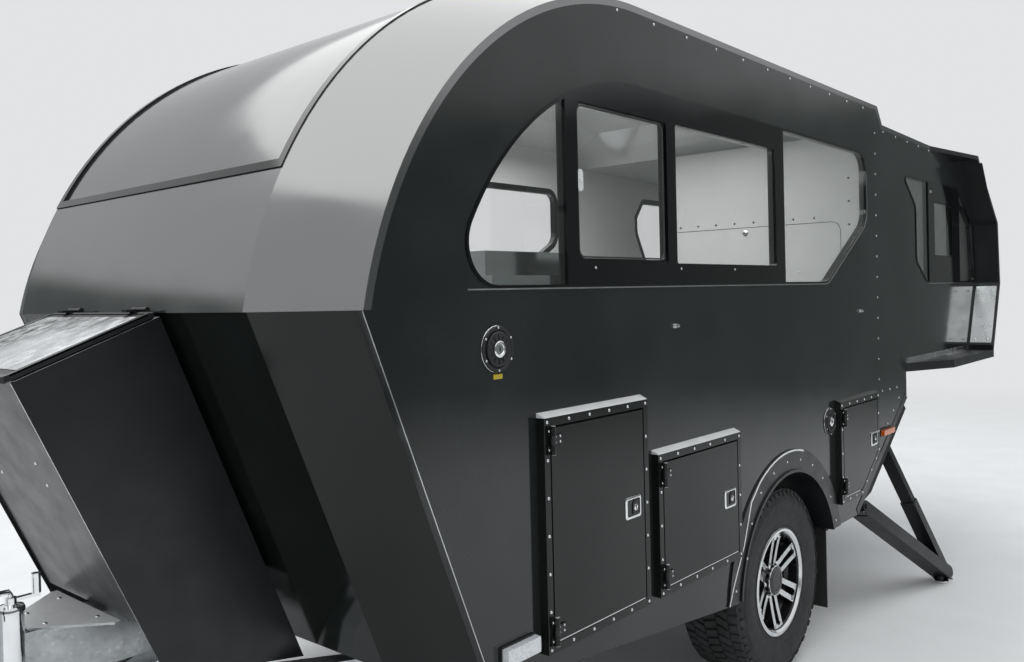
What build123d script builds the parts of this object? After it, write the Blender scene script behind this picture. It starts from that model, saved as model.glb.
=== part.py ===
from build123d import *
import math
import os

os.makedirs("parts", exist_ok=True)

# All lengths in millimetres: X forward from the axle, Y to the left, Z up from the ground
AXLE_X = -204.5

# Body shell
BODY_HALF = 975
CREST_HALF = 659
WALL = 30
ARC_X = 1075
ARC_Z = 1352
SIDE_R = 1167
CREST_R = 1272
JOINT_DROP = 22
KNEE_Z = 1580
NOSE_LEAN = 0.407
NOSE_RECESS = 10
SILL_Z = 585
FLOOR_TOP = 615
SHEET_JOINT_X = -1130
STEP_TOP = (-1150, 2519)
STEP_FOOT = (-1219, 2433)
STEP_DEPTH = 38
REAR_ROOF_T = 24
REAR_TOP = (-2640, 2403)
REAR_SHOULDER = (-2963, 2001)
REAR_WAIST = (-3000, 1608)
REAR_FOOT = (-2800, 1186)
TAIL_X = -1530
TAIL_Z = 1000
TAIL_JOINT_Z = 1120
DEPART_X = -777
DEPART_Z = 518
SKIRT_RISE = 0.113
SKIRT_X = 553
SKIRT_Z = 441

# Flared rear corners
FLARE_OUT = 145
FLARE_TOP_OUT = 113
FLARE_TOP_X = -2035
SHELF_FRONT_X = -1900
SHELF_DROP = 46

# Wheels and arches
WHEEL_R = 389
TYRE_IN = 672
TYRE_OUT = 944
RIM_R = 220
RIM_IN = 694
RIM_OUT = 932
RIM_SHEET = 8
RIM_SEAT = 205
BEAD_FIT = 0.3
SPOKE_PAIRS = 6
SPOKE_WIDTH = 22
SPOKE_SPREAD = 23
SPINDLE_R = 30
PIN_FIT = 0.3
ARCH_X = -8
ARCH_R = 455
ARCH_SHEET = 15
ARCH_INNER_Y = 600
FLANGE_R = 550
FLANGE_T = 7
FLAP_X = -475
FLAP_LOW = 150

# Windows
PANO_LOW = 27.4
PANO_HIGH = 78
GASKET = 26
GASKET_PROUD = 4
GLASS = 8
WINDOW_PROUD = 4
WINDOW_LOW = 1624
WINDOW_R = 912
PANE_LOW = 1700
PANE_HIGH = 2168
GLASS_EDGE = 9
FAR_EDGE = 34
BAR_FRONT = 1466
BAR_REAR = -8

# Hatches and entrance door
HATCH_PROUD = 28
HATCH_BORDER = 30
HATCH_GAP = 6
HATCH_SEAT = 5
HATCH_LEDGE = 12
PIN_AHEAD = 3
PIN_OUT = 9
PIN_R = 4
KNUCKLE_R = 8
KNUCKLE_L = 26
STRAP_T = 5
STRAP_L = 46
DOOR_FRONT = 1205
DOOR_REAR = 545
DOOR_LOW = 660
DOOR_HIGH = 2200
DOOR_T = 32
DOOR_FRAME = 40
DOOR_GLASS_EDGE = 84
DOOR_GLASS_LOW = 1660
DOOR_GLASS_HIGH = 2120
DOOR_FRAME_T = 12

# Chassis, axle and drawbar
RAIL_Y = 450
RAIL_W = 60
RAIL_LOW = 485
RAIL_REAR = -700
RAIL_FRONT = 1780
BEAM_SIZE = 80
DRUM_R = 150
ARM_X = 480
DRAW_HALF = 60
DRAW_LOW = 610
DRAW_HIGH = 760
DRAW_BEHIND = 345
DRAW_FRONT = 3220
FORK_LOW = 470
FORK_HIGH = 540
FORK_MEET = 2560
DECK_Z = 765
DECK_T = 5
DECK_BACK = 60
BALL_X = 3395
BALL_Z = 520
BALL_R = 25.2
SOCKET_WALL = 14

# Gas box
BOX_HALF = 300
BOX_SHEET = 6
BOX_BEHIND = 32
BOX_TOP_Z = 1571
BOX_LONG = 367
BOX_FRONT_Z = 1429
BOX_FOOT_X = 5
BOX_FOOT_Z = 620
BOX_TAIL_X = -423
BOX_TAIL_Z = 540
BOX_FLOOR = 775
BOX_INSET = 8
LID_T = 14
LID_GAP = 6

# Jockey wheel
JOCKEY_AHEAD = 100
JOCKEY_UNDER = 52
JOCKEY_Y = 112
JOCKEY_TUBE_R = 30
JOCKEY_STEM_R = 24
JOCKEY_TOP = 850
JOCKEY_TUBE_LOW = 430
JOCKEY_WHEEL_R = 100
JOCKEY_WHEEL_W = 50
JOCKEY_TRAIL = 40

# Rear legs, each in a plane that is splayed about a line along the departure slope
LEG_SPLAY = 12.57
LEG_PIVOT_X = -900
LEG_PIVOT_DROP = 54
LEG_SIDE = 2
LEG_W = 96
LEG_OVER = 30
LEG_UNDER = 34
LEG_SHEET = 6
LEG_PIN_R = 12
FOOT_RUN = 370
FOOT_DROP = 815
FOOT_R = 38
FOOT_T = 12
BRACE_RUN = 450
BRACE_DROP = -25
BRACE_GAP = 11
BRACE_DEPTH = 46
BRACE_SHEET = 4
BRACE_FIT = 1
SLEEVE_L = 470
TUBE_L = 450
RAIL_RUN = 745
RAIL_SHEET = 6
RAIL_CLEAR = 7
LUG_R = 25
EYE_GAP = 3

# Furniture and rooflight
BOARD = 18
KITCHEN_REAR = 1000
KITCHEN_DEEP = 400
KITCHEN_TOP = 1660
KITCHEN_CLEAR = 30
TUB_LONG = 340
TUB_AHEAD = 45
TUB_IN = 65
TUB_WIDE = 250
TUB_TOP = 1730
TUB_DEEP = 230
TUB_SHEET = 3
PARTITION_X = -1132
PARTITION_Y = -250
BED_TOP = 1480
BED_HALF = 800
BED_REAR = 60
ROOF_CLEAR = 12
LIGHT_X0 = -650
LIGHT_X1 = 50
LIGHT_HALF = 300
LIGHT_FRAME = 45
LIGHT_PROUD = 26

LOWER_X = NOSE_LEAN * (KNEE_Z - SILL_Z)
ROOF_TOP = ARC_Z + CREST_R
SIDE_TOP = ARC_Z + SIDE_R
JOINT_R = SIDE_R - JOINT_DROP
SIDE_KNEE_X = ARC_X + math.sqrt(SIDE_R ** 2 - (KNEE_Z - ARC_Z) ** 2)
CREST_KNEE_X = ARC_X + math.sqrt(CREST_R ** 2 - (KNEE_Z - ARC_Z) ** 2)
STEP_LEAN = (STEP_TOP[0] - STEP_FOOT[0]) / (STEP_TOP[1] - STEP_FOOT[1])
WALL_IN = BODY_HALF - WALL
HATCH_FACE = BODY_HALF + HATCH_PROUD
HATCH_PIN_Y = HATCH_FACE + PIN_OUT


def on_arc(radius, degrees):
    """Point of the side profile at an angle about the nose centre."""
    turn = math.radians(degrees)
    return (ARC_X + radius * math.cos(turn), ARC_Z + radius * math.sin(turn))


def arc_angle(radius, z):
    """Angle at which a circle about the nose centre reaches a height."""
    return math.degrees(math.asin((z - ARC_Z) / radius))


def face_xz(steps):
    """Closed face in the X-Z plane; a step of four numbers is an arc through its first two."""
    start = steps[0]
    here = start
    edges = []
    for step in list(steps[1:]) + [start]:
        there = step[-2:]
        if math.dist(here, there) < 0.001:
            continue
        first = (here[0], 0, here[1])
        last = (there[0], 0, there[1])
        if len(step) == 4:
            edges.append(ThreePointArc(first, (step[0], 0, step[1]), last))
        else:
            edges.append(Line(first, last))
        here = there
    return make_face(edges)


def slab(steps, y0, y1):
    """Prism of an X-Z outline between two Y planes."""
    return extrude(Pos(0, y0, 0) * face_xz(steps), amount=y1 - y0, dir=(0, 1, 0))


def block(x0, x1, y0, y1, z0, z1):
    """Box between two corners."""
    middle = Pos((x0 + x1) / 2, (y0 + y1) / 2, (z0 + z1) / 2)
    return middle * Box(abs(x1 - x0), abs(y1 - y0), abs(z1 - z0))


def disc(x, z, radius, y0, y1):
    """Cylinder along Y."""
    return Pos(x, (y0 + y1) / 2, z) * Rot(90, 0, 0) * Cylinder(radius, abs(y1 - y0))


def post(x, y, radius, z0, z1):
    """Cylinder along Z."""
    return Pos(x, y, (z0 + z1) / 2) * Cylinder(radius, z1 - z0)


def bar(start, end, depth, y0, y1):
    """Flat bar between two X-Z points, its depth square to its run."""
    run = math.dist(start, end)
    nx = -(end[1] - start[1]) / run * depth / 2
    nz = (end[0] - start[0]) / run * depth / 2
    corners = [(start[0] + nx, start[1] + nz), (start[0] - nx, start[1] - nz),
               (end[0] - nx, end[1] - nz), (end[0] + nx, end[1] + nz)]
    return slab(corners, y0, y1)


def inset(points, distance):
    """Polygon moved inwards by one distance; points run anticlockwise."""
    moved = []
    count = len(points)
    for i in range(count):
        before = points[i - 1]
        corner = points[i]
        after = points[(i + 1) % count]
        d1 = (Vector(*corner) - Vector(*before)).normalized()
        d2 = (Vector(*after) - Vector(*corner)).normalized()
        n1 = Vector(-d1.Y, d1.X)
        n2 = Vector(-d2.Y, d2.X)
        reach = distance / (1 + n1.dot(n2))
        moved.append((corner[0] + (n1.X + n2.X) * reach, corner[1] + (n1.Y + n2.Y) * reach))
    return moved


def soften(solid, corners):
    """Round the corners that stand along Y nearest to the given X-Z points."""
    for x, z, radius in corners:
        upright = solid.edges().filter_by(Axis.Y)
        near = sorted(upright, key=lambda e: math.dist((e.center().X, e.center().Z), (x, z)))
        solid = fillet([near[0]], radius)
    return solid


def ring(points, y0, y1):
    """Solid turned about the wheel axis from points of radius and Y."""
    return revolve(make_face(Polyline(*points, close=True)), Axis.Y, 360)


def flip(shape):
    """Mirror to the right side."""
    return mirror(shape, about=Plane.XZ)


def group(*shapes):
    """Solids of one node that stand apart."""
    solids = []
    for shape in shapes:
        solids.extend(shape.solids())
    return Compound(solids)


def step_line(z, shift):
    """Point of the roof step's sloping face at a height, moved along X."""
    return (STEP_FOOT[0] + STEP_LEAN * (z - STEP_FOOT[1]) + shift, z)


# Side walls
skirt_low = SKIRT_Z + SKIRT_RISE * (300 - SKIRT_X)
skirt_front = SIDE_KNEE_X - LOWER_X
arc_low = arc_angle(JOINT_R, KNEE_Z)
joint_top = STEP_FOOT[1] + (SHEET_JOINT_X - STEP_DEPTH - STEP_FOOT[0]) / STEP_LEAN
side_outline = [
    (DEPART_X, DEPART_Z),
    (-300, DEPART_Z),
    (300, skirt_low),
    (skirt_front, SILL_Z),
    (SIDE_KNEE_X, KNEE_Z),
    on_arc(JOINT_R, arc_low),
    on_arc(JOINT_R, (arc_low + 90) / 2) + on_arc(JOINT_R, 90),
    step_line(ARC_Z + JOINT_R, STEP_DEPTH),
    (SHEET_JOINT_X, joint_top),
    (SHEET_JOINT_X, TAIL_JOINT_Z),
    (TAIL_X, TAIL_JOINT_Z),
    (TAIL_X, TAIL_Z),
]
side_panel = slab(side_outline, WALL_IN, BODY_HALF)
side_panel -= disc(ARCH_X, WHEEL_R, ARCH_R + ARCH_SHEET, WALL_IN - 5, BODY_HALF + 5)

# Main side window, its panes front to rear
win_low_angle = arc_angle(WINDOW_R, WINDOW_LOW)
main_window = [
    (-459, WINDOW_LOW),
    on_arc(WINDOW_R, win_low_angle),
    on_arc(WINDOW_R, (win_low_angle + 90) / 2) + on_arc(WINDOW_R, 90),
    (-966, ARC_Z + WINDOW_R),
    (-966, 1921),
]
main_corners = [
    (on_arc(WINDOW_R, win_low_angle)[0], WINDOW_LOW, 118),
    (-966, ARC_Z + WINDOW_R, 90),
    (-966, 1921, 110),
    (-459, WINDOW_LOW, 130),
]
slide_pane = [(912, PANE_LOW), (1409, PANE_LOW), (1409, PANE_HIGH), (912, PANE_HIGH)]
middle_pane = [(73, PANE_LOW), (854, PANE_LOW), (854, PANE_HIGH), (73, PANE_HIGH)]

# Window of the raised rear section
tail_window = [
    (-1518, 2208), (-2560, 2208), (-2640, 2150), (-2900, 1998), (-2948, 1703),
    (-2940, 1618), (-1935, 1618), (-1737, 1741), (-1737, 2048),
]
tail_corners = [(-1518, 2208, 25), (-2560, 2208, 40), (-2940, 1618, 30), (-2900, 1998, 60),
                (-1935, 1618, 60), (-1737, 1741, 60), (-1737, 2048, 60)]
TAIL_BAR_FRONT = -1968
TAIL_BAR_REAR = -2608
tail_slider = [(-2083, 2097), (-2442, 2097), (-2442, 1773), (-2083, 1773)]

# Right-hand window of the raised section, with a blunt rounded front end
far_window = [
    (-2065, 1618), (-1848, 2020), (-1848, 2140), (-1950, 2268), (-2560, 2268), (-2660, 2150),
    (-2900, 1998), (-2948, 1703), (-2940, 1618),
]
far_corners = [(-2065, 1618, 60), (-1848, 2020, 150), (-1848, 2140, 40), (-1950, 2268, 60),
               (-2940, 1618, 30)]

PANE_Y = BODY_HALF - GLASS - 2
pane_layer = block(-4000, 4000, PANE_Y, PANE_Y + GLASS, 0, 3000)


def pane_hole(steps, rounding):
    """Upright hole for a pane with corners of one radius."""
    full = slab(steps, WALL_IN, BODY_HALF + WINDOW_PROUD)
    return fillet(full.edges().filter_by(Axis.Y), rounding)


def end_hole(cutter, edge, x0, x1):
    """Part of a window's outline between two X, kept clear of its rim."""
    face = cutter.faces().sort_by(Axis.Y)[-1]
    narrow = make_face(offset(face.outer_wire(), -edge, kind=Kind.INTERSECTION))
    body = extrude(narrow, amount=BODY_HALF, dir=(0, -1, 0))
    return body & block(x0, x1, WALL_IN, BODY_HALF + WINDOW_PROUD, 1500, 2400)


def glazed(cutter, holes):
    """Frame round its holes, and the panes that fill them."""
    frame = cutter
    panes = []
    for hole in holes:
        frame -= hole
        panes.append(hole & pane_layer)
    return frame, panes


main_cut = soften(slab(main_window, WALL_IN, BODY_HALF + WINDOW_PROUD), main_corners)
main_frame, main_glass = glazed(main_cut, [
    end_hole(main_cut, GLASS_EDGE, BAR_FRONT, 3000), pane_hole(slide_pane, 12), pane_hole(middle_pane, 8),
    end_hole(main_cut, GLASS_EDGE, -3000, BAR_REAR)])
tail_cut = soften(slab(tail_window, WALL_IN, BODY_HALF + WINDOW_PROUD), tail_corners)
tail_frame, tail_glass = glazed(tail_cut, [
    end_hole(tail_cut, GLASS_EDGE, TAIL_BAR_FRONT, 0), pane_hole(tail_slider, 8),
    end_hole(tail_cut, GLASS_EDGE, -4000, TAIL_BAR_REAR)])
far_cut = soften(slab(far_window, WALL_IN, BODY_HALF + WINDOW_PROUD), far_corners)
far_frame, far_glass = glazed(far_cut, [end_hole(far_cut, FAR_EDGE, -4000, 0)])

# Right-hand main window, parted by the entrance door
right_front_cut = main_cut & block(DOOR_FRONT + 80, 3000, 0, 1200, 1500, 2400)
right_rear_cut = main_cut & block(-2000, DOOR_REAR - 80, 0, 1200, 1500, 2400)
right_front_frame, front_glass = glazed(right_front_cut, [
    end_hole(main_cut, FAR_EDGE, DOOR_FRONT + 80 + FAR_EDGE, 3000)])
right_rear_frame, rear_glass = glazed(right_rear_cut, [
    end_hole(main_cut, FAR_EDGE, -3000, DOOR_REAR - 80 - FAR_EDGE)])

# Hatches: outline of the frame, heights of the two hinges
FRONT_HATCH = [(1101, 617), (1622, 617), (1622, 1267), (1101, 1267)]
MIDDLE_HATCH = [(470, 617), (1042, 617), (1042, 1080), (470, 1080)]
REAR_HATCH = [(-778, 617), (-515, 617), (-515, 1080), (-1017, 1080), (-1017, 784)]


def hinge_fixed(x, y, z):
    """Pin and two outer knuckles of an upright hinge, with the plate ahead of them."""
    parts = post(x, y, PIN_R, z - 1.5 * KNUCKLE_L, z + 1.5 * KNUCKLE_L)
    for side in (-1, 1):
        low = z + side * KNUCKLE_L - KNUCKLE_L / 2
        parts += post(x, y, KNUCKLE_R, low, low + KNUCKLE_L)
        parts += block(x, x + 18, y - PIN_OUT, y - PIN_OUT + STRAP_T, low, low + KNUCKLE_L)
        parts += block(x, x + 5, y - PIN_OUT, y, low, low + KNUCKLE_L)
    return parts


def hinge_moving(x, y, z, face):
    """Middle knuckle and strap that lies on the leaf."""
    half = KNUCKLE_L / 2 - 0.5
    parts = block(x - STRAP_L, x, face, face + STRAP_T, z - half, z + half)
    parts += post(x, y, KNUCKLE_R - 0.5, z - half, z + half)
    return parts - post(x, y, PIN_R + PIN_FIT, z - half, z + half)


def hatch(outline, pins):
    """Wall cutter, raised frame with its hinge pins, and leaf of one left-hand hatch."""
    leaf_edge = inset(outline, HATCH_BORDER)
    pin_x = max(p[0] for p in leaf_edge) + PIN_AHEAD
    frame = slab(outline, BODY_HALF, HATCH_FACE)
    frame -= slab(inset(outline, HATCH_BORDER - HATCH_GAP), BODY_HALF, HATCH_FACE)
    leaf = slab(leaf_edge, BODY_HALF + HATCH_SEAT, HATCH_FACE)
    for z in pins:
        frame += hinge_fixed(pin_x, HATCH_PIN_Y, z)
        leaf += hinge_moving(pin_x, HATCH_PIN_Y, z, HATCH_FACE)
    cutter = slab(inset(outline, HATCH_BORDER - HATCH_GAP + HATCH_LEDGE), WALL_IN, BODY_HALF)
    return cutter, frame, leaf


front_cut, front_frame, hatch_front = hatch(FRONT_HATCH, (679, 1205))
middle_cut, middle_frame, hatch_middle = hatch(MIDDLE_HATCH, (683, 1013))
rear_cut, rear_frame, hatch_rear_left = hatch(REAR_HATCH, (700, 1010))
hatch_rear_right = flip(hatch_rear_left)

# Entrance door on the right, drawn on the left and mirrored
door_hole = block(DOOR_REAR, DOOR_FRONT, WALL_IN - 1, BODY_HALF + 1, DOOR_LOW, DOOR_HIGH)
door_face = BODY_HALF + DOOR_FRAME_T
door_pin_y = door_face + PIN_OUT
door_pin_x = DOOR_FRONT - HATCH_GAP + PIN_AHEAD
door_frame = block(DOOR_REAR - DOOR_FRAME, DOOR_FRONT + DOOR_FRAME, BODY_HALF, door_face,
                   DOOR_LOW - DOOR_FRAME, DOOR_HIGH + DOOR_FRAME)
door_frame -= block(DOOR_REAR, DOOR_FRONT, BODY_HALF - 1, door_face + 1, DOOR_LOW, DOOR_HIGH)
door_leaf = block(DOOR_REAR + HATCH_GAP, DOOR_FRONT - HATCH_GAP, door_face - DOOR_T, door_face,
                  DOOR_LOW + HATCH_GAP, DOOR_HIGH - HATCH_GAP)
door_leaf = fillet(door_leaf.edges().filter_by(Axis.Y), 50)
door_hole = fillet(door_hole.edges().filter_by(Axis.Y), 56)
for z in (800, 1430, 2060):
    door_frame += hinge_fixed(door_pin_x, door_pin_y, z)
    door_leaf += hinge_moving(door_pin_x, door_pin_y, z, door_face)
door_window = block(DOOR_REAR + HATCH_GAP + DOOR_GLASS_EDGE, DOOR_FRONT - HATCH_GAP - DOOR_GLASS_EDGE,
                    door_face - DOOR_T - 1, door_face + 1, DOOR_GLASS_LOW, DOOR_GLASS_HIGH)
door_window = fillet(door_window.edges().filter_by(Axis.Y), 60)
door_leaf -= door_window
door_pane = door_window & block(DOOR_REAR, DOOR_FRONT, door_face - GLASS - 6, door_face - 6,
                                DOOR_LOW, DOOR_HIGH)
entrance_door = flip(door_leaf)
door_glass = flip(door_pane)

side_wall_left = side_panel - main_cut - front_cut - middle_cut - rear_cut
side_wall_right = flip(side_panel - right_front_cut - right_rear_cut - rear_cut - door_hole)
hatch_frames = group(front_frame, middle_frame, rear_frame, flip(rear_frame), flip(door_frame))

# Raised rear section: roof, rear wall and floor in one folded shell
roof_fall = (STEP_FOOT[1] - REAR_TOP[1]) / (STEP_FOOT[0] - REAR_TOP[0])
shell_front = step_line(STEP_FOOT[1] - REAR_ROOF_T, 0)
shell_loop = [STEP_FOOT, REAR_TOP, REAR_SHOULDER, REAR_WAIST, REAR_FOOT, (STEP_FOOT[0], REAR_FOOT[1])]
shell_inner = inset(shell_loop, WALL)
roof_in = (shell_inner[1][0], REAR_TOP[1] - REAR_ROOF_T)
floor_in = REAR_FOOT[1] + WALL
shell_steps = [STEP_FOOT, REAR_TOP, REAR_SHOULDER, REAR_WAIST, REAR_FOOT, (TAIL_X, REAR_FOOT[1]),
               (TAIL_X, floor_in), shell_inner[4], shell_inner[3], shell_inner[2], roof_in, shell_front]
rear_shell = slab(shell_steps, -BODY_HALF, BODY_HALF)

rear_side_outline = [
    (SHEET_JOINT_X, joint_top),
    step_line(STEP_FOOT[1] - REAR_ROOF_T, STEP_DEPTH),
    shell_front,
    roof_in,
    shell_inner[2],
    shell_inner[3],
    shell_inner[4],
    (TAIL_X, floor_in),
    (TAIL_X, TAIL_JOINT_Z),
    (SHEET_JOINT_X, TAIL_JOINT_Z),
]
rear_panel = slab(rear_side_outline, WALL_IN, BODY_HALF)
rear_side_left = rear_panel - tail_cut
rear_side_right = flip(rear_panel - far_cut)

# Flared corners: band along the rear edge, roof gusset and bottom shelf
flare_band = slab([REAR_TOP, REAR_SHOULDER, REAR_WAIST, REAR_FOOT, (shell_inner[4][0], REAR_FOOT[1]),
                   shell_inner[4], shell_inner[3], shell_inner[2], roof_in], BODY_HALF, BODY_HALF + FLARE_OUT)
gusset_fall = roof_fall * (FLARE_TOP_X - REAR_TOP[0])
gusset = slab([REAR_TOP, (FLARE_TOP_X, REAR_TOP[1] + gusset_fall),
               (FLARE_TOP_X, REAR_TOP[1] + gusset_fall - REAR_ROOF_T), roof_in],
              BODY_HALF, BODY_HALF + FLARE_OUT)
gusset_plan = make_face(Polyline(
    (FLARE_TOP_X, BODY_HALF, 0), (REAR_TOP[0] + 30, BODY_HALF + FLARE_TOP_OUT, 0),
    (REAR_SHOULDER[0], BODY_HALF + FLARE_TOP_OUT, 0), (REAR_SHOULDER[0], BODY_HALF, 0), close=True))
gusset = gusset & extrude(gusset_plan, amount=3000)
shelf_plan = make_face(Polyline(
    (TAIL_X - 4, BODY_HALF - 40, 0), (TAIL_X - 4, BODY_HALF, 0),
    (SHELF_FRONT_X, BODY_HALF + FLARE_OUT, 0), (REAR_FOOT[0], BODY_HALF + FLARE_OUT, 0),
    (REAR_FOOT[0], BODY_HALF - 40, 0), close=True))
shelf = extrude(Pos(0, 0, REAR_FOOT[1] - SHELF_DROP) * shelf_plan, amount=SHELF_DROP)
taper = make_face(Polyline(
    (0, BODY_HALF + FLARE_OUT, REAR_SHOULDER[1]), (0, BODY_HALF + FLARE_TOP_OUT, REAR_TOP[1] - REAR_ROOF_T),
    (0, BODY_HALF + FLARE_TOP_OUT, 2600), (0, BODY_HALF + FLARE_OUT + 50, 2600),
    (0, BODY_HALF + FLARE_OUT + 50, REAR_SHOULDER[1]), close=True))
flare_band -= extrude(taper, amount=4000, dir=(-1, 0, 0))
flare = flare_band + gusset + shelf
rear_flares = group(flare, flip(flare))

# Chamfer bands between the side walls and the crest
band = [(BODY_HALF, JOINT_R), (BODY_HALF, SIDE_R), (CREST_HALF, CREST_R),
        (CREST_HALF, CREST_R - WALL), (WALL_IN, JOINT_R)]
band_face = make_face(Polyline(*[(ARC_X, y, ARC_Z + r) for y, r in band], close=True))
nose_axis = Axis((ARC_X, 0, ARC_Z), (0, 1, 0))
band_arc = revolve(band_face, nose_axis, 90)
below_knee = block(0, 3000, -1200, 1200, 0, KNEE_Z)
behind_step = slab([step_line(2300, STEP_DEPTH), step_line(2700, STEP_DEPTH), (-1500, 2700),
                    (-1500, 2300)], -1200, 1200)
band_roof = extrude(band_face, amount=2400, dir=(-1, 0, 0))
chamfer = (band_arc - below_knee) + (band_roof - behind_step)
chamfers = group(chamfer, flip(chamfer))


def nose_shell(r0, r1, low, high, half):
    """Part of the curved nose between two angles."""
    steps = [on_arc(r0, low), on_arc(r1, low), on_arc(r1, (low + high) / 2) + on_arc(r1, high),
             on_arc(r0, high), on_arc(r0, (low + high) / 2) + on_arc(r0, low)]
    return slab(steps, -half, half)


crest_in = CREST_R - WALL
nose_panel = nose_shell(crest_in, CREST_R, 5, PANO_LOW, CREST_HALF) - below_knee
gasket_turn = math.degrees(GASKET / CREST_R)
pano_hole = nose_shell(crest_in - 5, CREST_R + 9, PANO_LOW + gasket_turn, PANO_HIGH - gasket_turn,
                       CREST_HALF - GASKET)
pano_gasket = nose_shell(crest_in, CREST_R + GASKET_PROUD, PANO_LOW, PANO_HIGH, CREST_HALF) - pano_hole
panorama_window = nose_shell(CREST_R - GLASS - 4, CREST_R - 4, PANO_LOW + gasket_turn,
                             PANO_HIGH - gasket_turn, CREST_HALF - GASKET)
window_frames = group(main_frame, tail_frame, flip(far_frame), flip(right_front_frame),
                      flip(right_rear_frame), pano_gasket)

# Roof with the sloping step at its rear
roof_flat = block(-1500, ARC_X, -CREST_HALF, CREST_HALF, ROOF_TOP - WALL, ROOF_TOP) - behind_step
roof_front = nose_shell(crest_in, CREST_R, PANO_HIGH, 90, CREST_HALF)
step_plate = slab([step_line(STEP_FOOT[1] - REAR_ROOF_T, 0), step_line(ROOF_TOP, 0),
                   step_line(ROOF_TOP, STEP_DEPTH), step_line(STEP_FOOT[1] - REAR_ROOF_T, STEP_DEPTH)],
                  -BODY_HALF, BODY_HALF)
hood = make_face(Polyline((0, BODY_HALF, 2000), (0, BODY_HALF, SIDE_TOP), (0, CREST_HALF, ROOF_TOP),
                          (0, -CREST_HALF, ROOF_TOP), (0, -BODY_HALF, SIDE_TOP),
                          (0, -BODY_HALF, 2000), close=True))
step_plate = step_plate & extrude(hood, amount=2000, dir=(-1, 0, 0))
roof_panel = roof_flat + roof_front + step_plate
light_hole = block(LIGHT_X0, LIGHT_X1, -LIGHT_HALF, LIGHT_HALF, ROOF_TOP - WALL - 1, ROOF_TOP + 1)
roof_panel -= light_hole
light_top = ROOF_TOP + LIGHT_PROUD
light_frame = block(LIGHT_X0 - LIGHT_FRAME, LIGHT_X1 + LIGHT_FRAME, -LIGHT_HALF - LIGHT_FRAME,
                    LIGHT_HALF + LIGHT_FRAME, ROOF_TOP, light_top)
light_frame = fillet(light_frame.edges().filter_by(Axis.Z), 50)
light_frame -= block(LIGHT_X0 + 10, LIGHT_X1 - 10, 10 - LIGHT_HALF, LIGHT_HALF - 10,
                     ROOF_TOP - 1, light_top + 1)
light_pane = block(LIGHT_X0 + 10, LIGHT_X1 - 10, 10 - LIGHT_HALF, LIGHT_HALF - 10,
                   light_top - 14, light_top - 6)
rooflight = light_frame
right_glass = [flip(pane) for pane in far_glass + front_glass + rear_glass]
window_glass = group(*main_glass, *tail_glass, *right_glass, light_pane)

# Undercut lower nose, a folded sheet that leans back towards the floor
nose_side_x = SIDE_KNEE_X
nose_crest_x = CREST_KNEE_X - NOSE_RECESS
nose_plan = make_face(Polyline(
    (nose_side_x, WALL_IN, KNEE_Z), (nose_crest_x, CREST_HALF, KNEE_Z), (nose_crest_x, -CREST_HALF, KNEE_Z),
    (nose_side_x, -WALL_IN, KNEE_Z), (nose_side_x - WALL, -WALL_IN, KNEE_Z),
    (nose_crest_x - WALL, -CREST_HALF, KNEE_Z), (nose_crest_x - WALL, CREST_HALF, KNEE_Z),
    (nose_side_x - WALL, WALL_IN, KNEE_Z), close=True))
nose_run = math.hypot(NOSE_LEAN, 1) * (KNEE_Z - SILL_Z)
lower_nose = extrude(nose_plan, amount=nose_run, dir=(-NOSE_LEAN, 0, -1))

# Floor, departure panel and arches
sill_lean = LOWER_X
floor_front = nose_crest_x - WALL - sill_lean
depart_rise = (TAIL_Z - DEPART_Z) / (DEPART_X - TAIL_X)
depart_in = WALL * math.hypot(1, depart_rise) / depart_rise
floor_rear = DEPART_X + depart_in - (SILL_Z - DEPART_Z) / depart_rise
floor_plan = make_face(Polyline(
    (floor_rear, WALL_IN, SILL_Z), (nose_side_x - WALL - sill_lean, WALL_IN, SILL_Z),
    (floor_front, CREST_HALF, SILL_Z), (floor_front, -CREST_HALF, SILL_Z),
    (nose_side_x - WALL - sill_lean, -WALL_IN, SILL_Z), (floor_rear, -WALL_IN, SILL_Z), close=True))
main_floor = extrude(floor_plan, amount=FLOOR_TOP - SILL_Z)
for side in (-1, 1):
    main_floor -= disc(ARCH_X, WHEEL_R, ARCH_R + ARCH_SHEET, side * (ARCH_INNER_Y - ARCH_SHEET),
                       side * BODY_HALF)

depart_outline = [
    (DEPART_X, DEPART_Z),
    (DEPART_X + depart_in, DEPART_Z),
    (TAIL_X + WALL, TAIL_Z + (depart_in - WALL) * depart_rise),
    (TAIL_X + WALL, floor_in),
    (TAIL_X, floor_in),
    (TAIL_X, TAIL_Z),
]
departure_panel = slab(depart_outline, -WALL_IN, WALL_IN)
keel = block(DEPART_X + depart_in, ARCH_X, ARCH_INNER_Y, WALL_IN, DEPART_Z, DEPART_Z + WALL)
keel -= disc(ARCH_X, WHEEL_R, ARCH_R + ARCH_SHEET, ARCH_INNER_Y - 5, BODY_HALF)
departure_panel += keel
departure_panel += flip(keel)

arch_solid = disc(ARCH_X, WHEEL_R, ARCH_R + ARCH_SHEET, ARCH_INNER_Y - ARCH_SHEET, BODY_HALF)
arch_solid -= disc(ARCH_X, WHEEL_R, ARCH_R, ARCH_INNER_Y, BODY_HALF + 10)
arch_solid -= block(-FLANGE_R - 50, FLANGE_R + 50, ARCH_INNER_Y - 100, BODY_HALF + 50, -200, DEPART_Z)
arch_solid -= block(-FLANGE_R - 50, FLANGE_R + 50, ARCH_INNER_Y - 100, ARCH_INNER_Y, -200, SILL_Z)
arch_flange = disc(ARCH_X, WHEEL_R, FLANGE_R, BODY_HALF, BODY_HALF + FLANGE_T)
arch_flange -= disc(ARCH_X, WHEEL_R, ARCH_R, BODY_HALF - 5, BODY_HALF + 20)
arch_flange -= block(-FLANGE_R - 50, ARCH_X, BODY_HALF - 5, BODY_HALF + 50, -200, DEPART_Z)
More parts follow.
